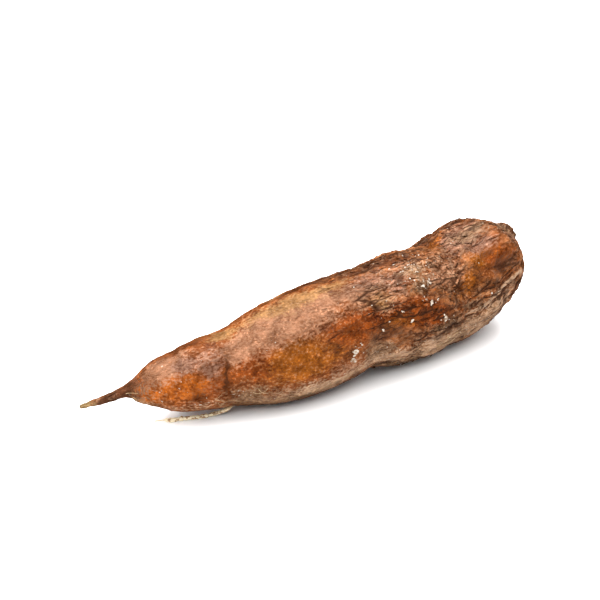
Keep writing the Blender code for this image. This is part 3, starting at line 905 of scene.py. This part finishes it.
# Sunk bark is darkened by the depth tint, and cracks and scale gaps take the crevice colour: both are
# painted shade.
sunk_here = wiring.attribute("sunk")
colour = wiring.mix(sunk_here, colour, wiring.vector("MULTIPLY", colour, DEPTH_TINT))
colour = wiring.mix(crack, colour, CREVICE)
speck_amount = wiring.ramp(wiring.attribute("speckled"), 0.0, 1.0, 0.0, 0.22)
specks = wiring.group(
    "dry specks", {"Place": place, "Speck Size": 0.0007, "Amount": speck_amount})["Mask"]
colour = wiring.mix(wiring.times(specks, 0.85), colour, SPECK)
colour = wiring.mix(wiring.attribute("bare"), colour, wiring.mix(tone, *CUT_WOOD))

crevice = wiring.larger(sunk_here, crack)
roughness = wiring.ramp(wiring.plus(fine_bark["Mottle"], crevice), 0.1, 1.3, 0.28, 0.62)
relief = wiring.plus(fine_bark["Grain"], wiring.times(broad_bark["Grain"], 0.8))
relief = wiring.math("SUBTRACT", relief, wiring.times(crack, 1.5))
lapped = wiring.times(wiring.times(scales["Rise"], flaky), 1.6)
relief = wiring.plus(relief, wiring.plus(lapped, specks))
finish_material(wiring, shader, colour, roughness, relief, 0.9, 0.00048)
set_gloss(shader, 0.08, 0.02, 0.18)
print("made", bark_material.name)

# %% Build the skin
straight = np.stack([SKIN, RADIUS * np.cos(ANGLE), RADIUS * np.sin(ANGLE)], axis=-1)
SPECKLE_LENGTH, SPECKLES_ROUND = 0.016, 12.0
TAIL_IS_BARE, BARE_EDGE_WAVE = (-0.1560, -0.1520), 0.0022

speckle_fields = over_skin(SPECKLE_LENGTH, SPECKLES_ROUND, 301.0)
speckled = np.clip(patch["grey"] * 0.7 + patch["pale"] * 0.5 + 0.9 * speckle_fields - 0.15, 0.0, 1.0)
bare = 1.0 - ramp(X + BARE_EDGE_WAVE * knobs, *TAIL_IS_BARE)
dry = 0.10 + 0.65 * FLAKY + 0.4 * patch["pink"] + 0.5 * patch["grey"] + 0.7 * patch["pale"]
dry = np.clip(dry - 0.8 * (patch["ochre"] + patch["rust"] + patch["orange"]), 0.0, 1.0)


def with_hubs(field):
    """The grid's values in order, then the first and last rows' means for the two hubs."""
    rows, columns = field.shape[:2]
    flat = field.reshape(rows * columns, -1)
    ends = np.stack([flat[:columns].mean(axis=0), flat[-columns:].mean(axis=0)])
    together = np.concatenate([flat, ends])
    return together if field.ndim == 3 else together[:, 0]


skin_values = dict(patch, sunk=sunk, raised=raised, plate_shade=plate_shade, flaky=FLAKY + 0 * ANGLE)
skin_values.update(speckled=speckled, dry=dry, bare=bare + 0 * ANGLE, bark_place=straight)
skin_values = {name: with_hubs(field) for name, field in skin_values.items()}
skin_mesh = many_grids(skin[None], tip[None], neck_hub[None])
root_skin = make_piece("root_skin", *skin_mesh, bark_material, skin_values)
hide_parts(NODE)

# %% [markdown]
# Everything that stands off the bark has to sit on it, from any side. So it is laid out on the
# skin first, at (distance along, angle round), and then lifted onto the surface. The skin's
# own grid tells where each such place is, and which way is out there.

# %% Find places on the finished skin
SKIN_STEP, FIRST_ROW = even[1] - even[0], len(tip_turn)
ON_BODY = slice(FIRST_ROW, FIRST_ROW + ROWS_ON_BODY)
CALMING_PASSES = 6

calm_skin = np.stack([smoothed(skin[..., axis], CALMING_PASSES) for axis in range(3)], axis=-1)
calm_skin[..., 2] = np.maximum(calm_skin[..., 2], 0.0)
round_way = np.roll(calm_skin, -1, axis=1) - np.roll(calm_skin, 1, axis=1)
outward = unit(np.cross(round_way, np.gradient(calm_skin, axis=0)))


def skin_distance(x):
    """How far along the skin a place in millimetres from the root's middle is."""
    return np.interp(np.asarray(x) / 1000, row_middle[ON_BODY, 0], row_skin[ON_BODY])


def root_size(at):
    """The radius of the root at each distance along the skin."""
    return np.interp(at, even, row_radius[ON_BODY])


def on_grid(field, at, angle):
    """A field's value at places on the skin: the four grid values round each, mixed by nearness."""
    row = np.clip(FIRST_ROW + at / SKIN_STEP, 0, FIRST_ROW + ROWS_ON_BODY - 1.001)
    column = angle / (2 * math.pi) * COLUMNS
    i, j = np.floor(row).astype(int), np.floor(column).astype(int)
    u, v = row - i, column - j
    if field.ndim == 3:
        u, v = u[..., None], v[..., None]
    near, far = j % COLUMNS, (j + 1) % COLUMNS
    here = field[i, near] * (1 - v) + field[i, far] * v
    after = field[i + 1, near] * (1 - v) + field[i + 1, far] * v
    return here * (1 - u) + after * u


def lifted(at, angle, lift):
    """Points over the skin: the surface point plus lift times its outward direction."""
    return on_grid(skin, at, angle) + lift[..., None] * on_grid(outward, at, angle)


def straight_place(at, angle):
    """Where a place would be if the root were straightened: x along, and round it y and z."""
    size = root_size(at)
    return np.stack([at, size * np.cos(angle), size * np.sin(angle)], axis=-1)


print("one step of the grid is", round(SKIN_STEP * 1000, 2), "mm along the skin")

# %% [markdown]
# A scale of loose bark is thin, longer than wide, held at one end and curled up at the other.
# One closed surface makes it: a flat ellipse carried along a line, wide in the middle and
# closed at both ends. It is laid on the skin by its own length and width, so it hugs the root.

# %% Helper: scales that lie on the skin
SCALE_ROWS, SCALE_COLUMNS = 6, 8
OVER_SKIN, OVER_FLOOR, HUB_REACH = 0.00008, 0.0001, 1.03


def scales_on_skin(at, angle, half_length, half_width, lift, curl, turn, thickness, draws):
    """Many scales at once. With s from -1 to 1 along a scale and f round it: its length is
    s L, its half width is W (1 - s^2)^0.6, its across is width times -cos f, and its height is
    lift ((1 + s) / 2)^1.6 + curl cos^2 f + thickness / 2 sin f, all turned on the skin."""
    count = len(at)
    s = -np.cos(math.pi * (np.arange(SCALE_ROWS) + 0.6) / (SCALE_ROWS + 0.2))[None, :, None]
    f = full_turn(SCALE_COLUMNS)[None, None, :]
    given = (at, angle, half_length, half_width, lift, curl, turn, thickness)
    at, angle, half_length, half_width, lift, curl, turn, thickness = (
        value[:, None, None] for value in given)
    uneven = 1.0 + 0.80 * (draws.random((count, SCALE_ROWS, 1)) - 0.5)
    sway = 0.5 * half_width * (draws.random((count, 1, 1)) - 0.5) * s**2
    width = half_width * (1 - s**2) ** 0.6 * uneven
    across = -width * np.cos(f) + sway
    length = half_length * s + 0 * f
    rise = lift * ((1 + s) / 2) ** 1.6 + curl * np.cos(f) ** 2 * (1 - s**2) + OVER_SKIN
    height = rise + thickness / 2 * np.sin(f) * (1 - s**2) ** 0.3

    def turned(length, across):
        place = at + length * np.cos(turn) - across * np.sin(turn)
        return place, angle + (length * np.sin(turn) + across * np.cos(turn)) / root_size(at)

    place, side = turned(length, across)
    points = lifted(place, side, height)
    hub_ends = half_length * np.array([-HUB_REACH, HUB_REACH])[None, :, None]
    hub_place, hub_side = turned(hub_ends, 0 * half_length)
    hub_lift = np.concatenate([0 * lift + OVER_SKIN, lift], axis=1)
    hubs = lifted(hub_place, hub_side, hub_lift)
    lifted_share = np.broadcast_to(((1 + s) / 2) * (0.6 + 0.4 * np.cos(f) ** 2), height.shape)

    def flat(field, at_hubs):
        return np.concatenate([field.reshape(count, -1), at_hubs.reshape(count, -1)], axis=1).ravel()

    every_place, every_side = flat(place, hub_place), flat(side, hub_side)
    rim = flat(lifted_share, np.tile([0.0, 1.0], (count, 1)))
    points[..., 2] = np.maximum(points[..., 2], OVER_FLOOR)
    hubs[..., 2] = np.maximum(hubs[..., 2], OVER_FLOOR)
    grids = many_grids(points, hubs[:, 0, 0], hubs[:, 1, 0])
    return grids, every_place, every_side, rim


def spots_by_chance(weights, count, draws):
    """Places on the skin picked at random, more of them where the weights are high."""
    chances = (weights / weights.sum()).ravel()
    picked = draws.choice(weights.size, size=count, replace=False, p=chances)
    row, column = np.unravel_index(picked, weights.shape)
    nudge = draws.random((2, count)) - 0.5
    return SKIN[row, 0] + nudge[0] * SKIN_STEP, (column + nudge[1]) * 2 * math.pi / COLUMNS


# %% [markdown]
# The head sheds the most scales, the waist some, and the smooth lobes almost none. Each takes the
# colour of the bark that it lies on, so it carries the same values as the skin, looked
# up at its own place, and wears the same material. Its lifted rim counts as raised and is paled:
# partly wear and partly painted highlight.

# %% Strew the loose scales
SCALE_COUNT, SCALE_SEED = 950, 23
HALF_LENGTHS, WIDTH_SHARES = (0.0011, 0.0040), (0.24, 0.50)

draws = np.random.default_rng(SCALE_SEED)
off_floor = ramp(skin[..., 2], 0.001, 0.006)
on_body = ramp(X, -0.130, -0.120) * (1.0 - ramp(X, 0.140, 0.146))
weights = (FLAKY**2 + 0.010) * (1.0 - 0.7 * CALM) * off_floor * on_body * RADIUS
at, angle = spots_by_chance(weights, SCALE_COUNT, draws)
half_length = HALF_LENGTHS[0] + (HALF_LENGTHS[1] - HALF_LENGTHS[0]) * draws.random(SCALE_COUNT) ** 1.8
half_width = half_length * draws.uniform(*WIDTH_SHARES, SCALE_COUNT)
lift = draws.uniform(0.00015, 0.00085, SCALE_COUNT)
curl = draws.uniform(0.0, 0.00025, SCALE_COUNT)
turn = draws.normal(0.0, 0.30, SCALE_COUNT) + np.where(draws.random(SCALE_COUNT) < 0.7, math.pi, 0.0)
thickness = draws.uniform(0.00022, 0.00040, SCALE_COUNT)
scales, every_place, every_side, rim = scales_on_skin(
    at, angle, half_length, half_width, lift, curl, turn, thickness, draws)

corners_each = SCALE_ROWS * SCALE_COLUMNS + 2
scale_values = {name: on_grid(field, every_place, every_side) for name, field in patch.items()}
scale_values["sunk"] = np.zeros_like(rim)
scale_values["dry"] = on_grid(dry, every_place, every_side)
# The lifted rim is paled as raised bark is: partly wear, partly painted highlight.
scale_values["raised"] = rim * np.repeat(draws.random(SCALE_COUNT), corners_each)
scale_values["plate_shade"] = np.repeat(draws.uniform(0.1, 1.0, SCALE_COUNT), corners_each)
scale_values["bark_place"] = straight_place(every_place, every_side)
make_piece("loose_scales", *scales, bark_material, scale_values)

# %% [markdown]
# Small chips of torn cork cling to the bark, nearly white where the light catches them. Most lie
# in a few clusters, at (millimetres from the middle, degrees round), and the rest are strewn thinly.

# %% Scatter the pale chips
CHIP_CLUSTERS = (
    (-6.5, 177, 0.9, 7, 1.0), (-9, 184, 0.7, 4, 0.9), (-3, 172, 1.6, 5, 0.4), (49, 112, 3.6, 20, 0.4),
    (47, 128, 1.6, 8, 0.6), (54, 130, 1.2, 6, 0.6), (60, 171, 0.8, 6, 0.9), (35, 164, 0.6, 3, 0.7),
    (16, 166, 0.6, 3, 0.6), (30, 152, 0.5, 2, 0.7), (50, 152, 0.6, 3, 0.7), (44, 146, 1.2, 4, 0.5),
    (56, 150, 1.6, 4, 0.4), (-78, 186, 2.5, 5, 0.4), (38, 112, 6.0, 16, 0.4), (64, 170, 5.0, 6, 0.3),
    (100, 176, 5.0, 5, 0.4), (-98, 192, 5.0, 6, 0.3), (64, 100, 8.0, 14, 0.4), (84, 216, 5.0, 7, 0.4),
    (-20, 204, 9.0, 7, 0.3), (64, 20, 6.0, 9, 0.6), (-30, 330, 8.0, 8, 0.5), (12, 150, 8.0, 6, 0.3),
    (-112, 150, 8.0, 6, 0.2),
)
STRAY_CHIPS, STRAY_SHARE, CHIP_SEED, USUAL_RADIUS = 30, 0.35, 31, 0.030
CHIP_SMALLEST, CHIP_LARGEST = 0.00030, 0.00190

draws = np.random.default_rng(CHIP_SEED)
middles = np.concatenate([np.tile(cluster, (cluster[3], 1)) for cluster in CHIP_CLUSTERS])
spread = draws.normal(size=(2, len(middles))) * middles[:, 2] / 1000
cluster_at = skin_distance(middles[:, 0]) + spread[0]
cluster_angle = np.radians(middles[:, 1]) + spread[1] / USUAL_RADIUS
stray_at, stray_angle = spots_by_chance(off_floor * on_body * (0.3 + FLAKY), STRAY_CHIPS, draws)
at, angle = np.concatenate([cluster_at, stray_at]), np.concatenate([cluster_angle, stray_angle])
chip_count = len(at)
largest = CHIP_LARGEST * np.concatenate([middles[:, 4], np.full(STRAY_CHIPS, STRAY_SHARE)])
half_length = CHIP_SMALLEST + (largest - CHIP_SMALLEST).clip(0.0) * draws.random(chip_count)
half_width = half_length * draws.uniform(0.35, 0.85, chip_count)
lift = half_length * draws.uniform(0.05, 0.40, chip_count)
turn = draws.normal(0.0, 1.0, chip_count)
thickness = draws.uniform(0.00012, 0.00030, chip_count)
chips, every_place, every_side, rim = scales_on_skin(
    at, angle, half_length, half_width, lift, 0.12 * half_length, turn, thickness, draws)

wiring, shader, chip_material = new_material("torn cork")
place = wiring.attribute("bark_place", "Vector")
cork = bark_grain(wiring, place, 0.0006, 1.0)
light_cork = wiring.mix(wiring.attribute("chip_shade"), (0.15, 0.09, 0.05), (0.47, 0.40, 0.33))
cork_colour = wiring.mix(wiring.ramp(cork["Mottle"], 0.1, 0.6), (0.20, 0.12, 0.07), light_cork)
cork_roughness = wiring.ramp(cork["Mottle"], 0.0, 1.0, 0.55, 0.85)
finish_material(wiring, shader, cork_colour, cork_roughness, cork["Grain"], 0.5, 0.0001)
set_gloss(shader, 0.20, 0.0, 0.3)

chip_values = {
    "chip_shade": np.repeat(np.clip(draws.random(chip_count) + largest * 300, 0.0, 1.2), corners_each),
    "bark_place": straight_place(every_place, every_side),
}
make_piece("pale_chips", *chips, chip_material, chip_values)

# %% [markdown]
# Two rootlets still hang on: one under the crease, which droops and then trails along the
# table with soil stuck to it, and one behind. A rootlet is a tube carried along a path. It
# isn't even: its width swells and shrinks as it dries and where crumbs of soil cling, and
# fine hairs of the same kind lie on the bark.

# %% Helper: tubes along paths
TUBE_OVER_FLOOR = 0.00005


def tubes(lines, radii, sides):
    """Tubes round many paths, given as (tube, point, xyz): at each point a ring of that radius
    square to the path. A ring starts across the direction that its path uses least."""
    steps = unit(np.gradient(lines, axis=1))
    _, directions = np.linalg.eigh(np.einsum("tpi,tpj->tij", steps, steps))
    first = unit(np.cross(steps, directions[:, None, :, 0]))
    second = np.cross(steps, first)
    turn = full_turn(sides)
    ring = np.cos(turn)[:, None] * first[:, :, None] + np.sin(turn)[:, None] * second[:, :, None]
    points = lines[:, :, None] + radii[:, :, None, None] * ring
    tips = lines[:, -1] + radii[:, -1, None] * steps[:, -1]
    points[..., 2] = np.maximum(points[..., 2], TUBE_OVER_FLOOR)
    return many_grids(points, lines[:, 0], tips)


ROOTLET_ROUTES = {
    "front": (
        (-0.0770, -0.0080, 0.0130), (-0.0776, -0.0122, 0.0090), (-0.0800, -0.0120, 0.0068),
        (-0.0834, -0.0098, 0.0044), (-0.0868, -0.0070, 0.0024), (-0.0905, -0.0056, 0.0016),
        (-0.0960, -0.0042, 0.0014), (-0.1020, -0.0020, 0.0014), (-0.1080, 0.0002, 0.0014),
        (-0.1125, 0.0016, 0.0013), (-0.1156, 0.0038, 0.0012), (-0.1215, 0.0064, 0.0009),
    ),
    "back": (
        (0.0300, 0.0240, 0.0250), (0.0292, 0.0322, 0.0232), (0.0266, 0.0362, 0.0178),
        (0.0226, 0.0374, 0.0112), (0.0172, 0.0366, 0.0058), (0.0108, 0.0378, 0.0024),
        (0.0042, 0.0366, 0.0012), (-0.0020, 0.0376, 0.0009),
    ),
}
ROOTLET_POINTS, ROOTLET_SIDES = 90, 10
# Each rootlet: its radius where it leaves the bark, its radius further on, how unevenly it
# swells, and how much thinner its bare tip is. Soil makes the front one thick where it lies.
ROOTLET_BUILDS = {"front": (0.00095, 0.00135, 0.50, 0.80), "back": (0.00095, 0.00024, 0.30, 0.40)}
BARE_TIP, SOIL_STARTS = (0.86, 0.92), (0.078, 0.088)
ROOTLET_WOBBLE = 0.00022

wiring, shader, rootlet_material = new_material("rootlet skin")
place = wiring.add("TexCoord")["Object"]
fibre = bark_grain(wiring, place, 0.0009, 1.6)
dry_fibre = wiring.mix(fibre["Mottle"], (0.38, 0.26, 0.13), (0.66, 0.51, 0.32))
fibre_colour = wiring.mix(fibre["Grain"], (0.28, 0.17, 0.08), dry_fibre)
crumbs = bark_grain(wiring, place, 0.00045, 1.0)
soil_shade = wiring.ramp(crumbs["Mottle"], 0.22, 0.38, 0.0, 1.0)
soil_colour = wiring.mix(soil_shade, (0.34, 0.20, 0.10), (0.80, 0.69, 0.47))
fibre_colour = wiring.mix(wiring.attribute("dry_soil"), fibre_colour, soil_colour)
fibre_roughness = wiring.ramp(fibre["Grain"], 0.0, 1.0, 0.75, 0.5)
finish_material(wiring, shader, fibre_colour, fibre_roughness, fibre["Grain"], 0.6, 0.00015)
set_gloss(shader, 0.25, 0.0, 0.3)

even_steps = np.linspace(0.0, 1.0, ROOTLET_POINTS)
for k, (name, route) in enumerate(ROOTLET_ROUTES.items()):
    route = np.array(route)
    knot = running_sum(np.linalg.norm(np.diff(route, axis=0), axis=1))
    line = np.stack([smooth_through(knot, axis, even_steps * knot[-1]) for axis in route.T], axis=-1)
    wobble = [noise.hills(even_steps * 22, 9.0 * k, 3.0 * axis) for axis in range(3)]
    line = line + ROOTLET_WOBBLE * np.stack(wobble, axis=-1) * ramp(even_steps, 0.05, 0.2)[:, None]
    at_bark, further_on, swell, thinner = ROOTLET_BUILDS[name]
    width = further_on + (at_bark - further_on) * (1.0 - even_steps) ** 2.0
    width = width * (1.0 + swell * noise.rough_hills(even_steps * 26, 5.0, 11.0 * k))
    width = width * (1.0 - thinner * ramp(even_steps, *BARE_TIP))
    line[:, 2] = np.maximum(line[:, 2], 0.9 * width)
    tube = tubes(line[None], width[None], ROOTLET_SIDES)
    soiled = float(name == "front") * ramp(-tube[0][:, 0], *SOIL_STARTS)
    make_piece(name + "_rootlet", *tube, rootlet_material, {"dry_soil": soiled})

# %% [markdown]
# Root hairs are far finer, under half a millimetre. They are laid on the skin as gently
# bending lines, close to it at both ends and free in the middle, most of them where the bark
# folds: by the tail, at the crease, and under the neck.

# %% Lay the fine hairs
HAIR_SPOTS = (
    (-130, 200, 6, 2), (-128, 165, 6, 1), (-80, 195, 8, 3), (-60, 200, 12, 2),
    (70, 200, 20, 4), (60, 30, 30, 5), (-50, 350, 30, 4),
)
HAIR_POINTS, HAIR_SIDES, HAIR_SEED = 16, 6, 47
HAIR_LENGTHS, HAIR_RADII, HAIR_RISE = (0.006, 0.018), (0.00009, 0.00018), (0.0002, 0.0009)
HAIR_MARGIN, HAIR_OVER_SKIN = 0.004, 0.00015

draws = np.random.default_rng(HAIR_SEED)
middles = np.concatenate([np.tile(spot[:3], (spot[3], 1)) for spot in HAIR_SPOTS])
hair_count = len(middles)
t = np.linspace(-0.5, 0.5, HAIR_POINTS)[None, :]
start_at = skin_distance(middles[:, 0]) + draws.normal(size=hair_count) * middles[:, 2] / 2000
start_angle = np.radians(middles[:, 1]) + draws.normal(0.0, 0.12, hair_count)
length = draws.uniform(*HAIR_LENGTHS, hair_count)[:, None]
way = draws.uniform(-0.9, 0.9, hair_count)[:, None] + draws.normal(0.0, 1.5, hair_count)[:, None] * t
step_along, step_round = np.cos(way) * length / HAIR_POINTS, np.sin(way) * length / HAIR_POINTS
hair_at = start_at[:, None] + np.cumsum(step_along, axis=1)
hair_at = hair_at - step_along.sum(axis=1, keepdims=True) / 2
hair_size = np.maximum(root_size(hair_at), HAIR_MARGIN)
hair_angle = start_angle[:, None] + np.cumsum(step_round, axis=1) / hair_size
hair_radius = draws.uniform(*HAIR_RADII, hair_count)[:, None] * (1.0 - 0.5 * (t + 0.5))
hair_rise = draws.uniform(*HAIR_RISE, hair_count)[:, None] * (1.0 - (2 * t) ** 2) + HAIR_OVER_SKIN
hair_at = np.clip(hair_at, HAIR_MARGIN, skin_length[-1] - HAIR_MARGIN)
hair_lines = lifted(hair_at, hair_angle, hair_rise)
make_piece("root_hairs", *tubes(hair_lines, hair_radius, HAIR_SIDES), rootlet_material)

# %% [markdown]
# Where the neck was sawn from the plant, hard pale wood shows inside the bark's rim: year-like
# rings round a small pith, with fine splits that run out from it as the wood dries. The piece is
# a thick lens, turned round the neck's own direction, and it fills the dish in the skin.

# %% Set the sawn wood into the neck
WOOD_COLUMNS, WOOD_SHARE, WOOD_DEPTH, WOOD_FRONT = 96, 0.84, 0.0030, -0.00025
WOOD_RING_HEIGHT, WOOD_RINGS, WOOD_SPLIT_DEPTH = 0.00010, 6, 0.00045
WOOD_SAW_HEIGHT, WOOD_PITH_DEPTH, WOOD_BACK_ROWS = 0.00012, 0.0006, 4

wood_share = np.concatenate([[0.15, 0.50, 0.85, 1.0], np.linspace(0.985, 0.04, 22)])[:, None]
wood_front = (np.arange(len(wood_share)) >= WOOD_BACK_ROWS).astype(float)[:, None]
wood_angle = full_turn(WOOD_COLUMNS)[None, :]
wood_reach = WOOD_SHARE * row_radius[-1] * wood_share + 0 * wood_angle
wood_y, wood_z = wood_reach * np.cos(wood_angle), wood_reach * np.sin(wood_angle)
ring_bend = 0.3 * noise.hills(wood_y * 300, wood_z * 300, 7.0)
rings = np.cos(2 * math.pi * (WOOD_RINGS * wood_share + ring_bend))
rays = noise.hills(3.2 * np.cos(wood_angle), 3.2 * np.sin(wood_angle), wood_share * 0.8)
split = bell(rays, 0.05) * ramp(wood_share, 0.15, 0.45)
saw = noise.rough_hills(wood_y * 900, wood_z * 250, 19.0)
wood_height = WOOD_RING_HEIGHT * rings - WOOD_SPLIT_DEPTH * split + WOOD_SAW_HEIGHT * saw
wood_height = wood_height - WOOD_PITH_DEPTH * bell(wood_share, 0.09)
wood_push = np.where(wood_front > 0, WOOD_FRONT + wood_height, -WOOD_DEPTH)
neck_middle, neck_along = row_middle[-1], row_along[-1]
wood_ring = wood_y[..., None] * row_side[-1] + wood_z[..., None] * row_up[-1]
wood_points = neck_middle + wood_ring + wood_push[..., None] * neck_along
wood_hubs = [neck_middle + push * neck_along for push in (-WOOD_DEPTH, wood_push[-1].mean())]

wiring, shader, wood_material = new_material("sawn wood")
place = wiring.attribute("wood_place", "Vector")
wood_grain = bark_grain(wiring, place, 0.0007, 1.0)
wood_colour = wiring.mix(wood_grain["Grain"], (0.22, 0.13, 0.06), (0.42, 0.31, 0.18))
ring_dark = wiring.times(wiring.attribute("ring_shade"), 0.55)
wood_colour = wiring.mix(ring_dark, wood_colour, (0.20, 0.10, 0.045))
# The near-black in the splits is painted shade inside them.
wood_colour = wiring.mix(wiring.attribute("split"), wood_colour, (0.05, 0.025, 0.012))
wood_roughness = wiring.ramp(wood_grain["Mottle"], 0.0, 1.0, 0.65, 0.9)
finish_material(wiring, shader, wood_colour, wood_roughness, wood_grain["Grain"], 0.6, 0.0001)
set_gloss(shader, 0.20, 0.0, 0.3)

ring_shade = 0.5 - 0.5 * rings + bell(wood_share, 0.10)
wood_values = {
    "ring_shade": with_hubs(ring_shade),
    "split": with_hubs(split),
    "wood_place": with_hubs(np.stack([0 * wood_y, wood_y, wood_z], axis=-1)),
}
wood = many_grids(wood_points[None], wood_hubs[0][None], wood_hubs[1][None])
make_piece("neck_wood", *wood, wood_material, wood_values)

# %% [markdown]
# The floor is one large pale sheet that runs far past the picture's edge. It is lit until it
# is pure white, so only the soft shadow beside the root shows. It is kept out of reflections,
# as a polarising filter would do it, because its white would veil the bark's deep colours.

# %% Lay the floor
FLOOR_SIZE = 60.0
corners = np.array([(-1, -1, 0), (1, -1, 0), (1, 1, 0), (-1, 1, 0)]) * FLOOR_SIZE / 2
floor_mesh = bpy.data.meshes.new("floor")
floor_mesh.from_pydata(corners.tolist(), [], [(0, 1, 2, 3)])
floor = add_object("floor", floor_mesh)
wiring, shader, floor_material = new_material("pale floor")
shader.inputs["Base Color"].default_value = (0.93, 0.93, 0.93, 1)
shader.inputs["Roughness"].default_value = 0.9
shader.inputs["Specular IOR Level"].default_value = 0.0
floor_mesh.materials.append(floor_material)
floor.visible_glossy = False
floor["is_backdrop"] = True

# %% [markdown]
# The root lies in soft light from above: its upper side is pale, its lower side deep in colour,
# and its shadow is a short soft seam. So the sky here is a tent with a bright round roof and dark
# walls: a direction is bright where it is near the roof's middle, measured by the dot product of
# the two directions. A long softbox above and behind adds the pale sheen along the top, and a
# small lamp by the camera adds glints. The roof is kept out of reflections, as the floor is, and
# whatever looks straight at the sky sees plain white, so that low views have a pale background.

# %% Light the root
SKY_BRIGHTNESS, SKY_DARK_SHARE = 4.3, 0.08
SKY_EDGE, SKY_FULL, SKY_LEAN = 0.50, 0.68, 0.18
forward = np.array([-math.sin(CAMERA_AZIMUTH), math.cos(CAMERA_AZIMUTH), 0.0])
right = np.array([forward[1], -forward[0], 0.0])
bright_middle = unit(-SKY_LEAN * right + np.array([0.0, 0.0, 1.0]))


def soft_light(name, rightward, onward, upward, width, depth, brightness):
    """A flat light that faces the root; its power is brightness times pi times its area."""
    offset = rightward * right + onward * forward + np.array([0.0, 0.0, upward])
    lamp = bpy.data.lights.new(name, "AREA")
    lamp.shape = "RECTANGLE"
    lamp.size, lamp.size_y = width, depth
    lamp.energy = brightness * math.pi * width * depth
    light = add_object(name, lamp)
    light.location = Vector(CAMERA_AIM + offset)
    light.rotation_euler = Vector(offset).to_track_quat("Z", "Y").to_euler()


soft_light("softbox", -0.10, 0.66, 1.30, 1.70, 0.70, 9.0)
soft_light("glint_light", -0.75, -1.50, 1.30, 0.12, 0.12, 70.0)

world = bpy.data.worlds.new("studio tent")
world.use_nodes = True
wiring = Wiring(world.node_tree)
nearness = wiring.dot(wiring.add("TexCoord")["Generated"], tuple(bright_middle))
background = world.node_tree.nodes["Background"]
background.inputs["Color"].default_value = (1, 1, 1, 1)
brightness = wiring.ramp(nearness, SKY_EDGE, SKY_FULL, SKY_DARK_SHARE * SKY_BRIGHTNESS, SKY_BRIGHTNESS)
seen_directly = wiring.add("LightPath")["Is Camera Ray"]
shown = wiring.add("Mix", {0: seen_directly, 2: brightness, 3: 1.0}, data_type="FLOAT")[0]
wiring.fill(background, {"Strength": shown})
world.cycles_visibility.glossy = False
bpy.context.scene.world = world
bpy.context.scene.view_settings.view_transform = "Standard"
print("lit by the tent and", len(bpy.data.lights), "lamps")

# %% Measure the dressed root's box, and finish
LOOK_LOW, LOOK_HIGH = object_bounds()
sides = [round((high - low) * 1000, 1) for low, high in zip(LOOK_LOW, LOOK_HIGH)]
print("the dressed root is", sides, "mm")
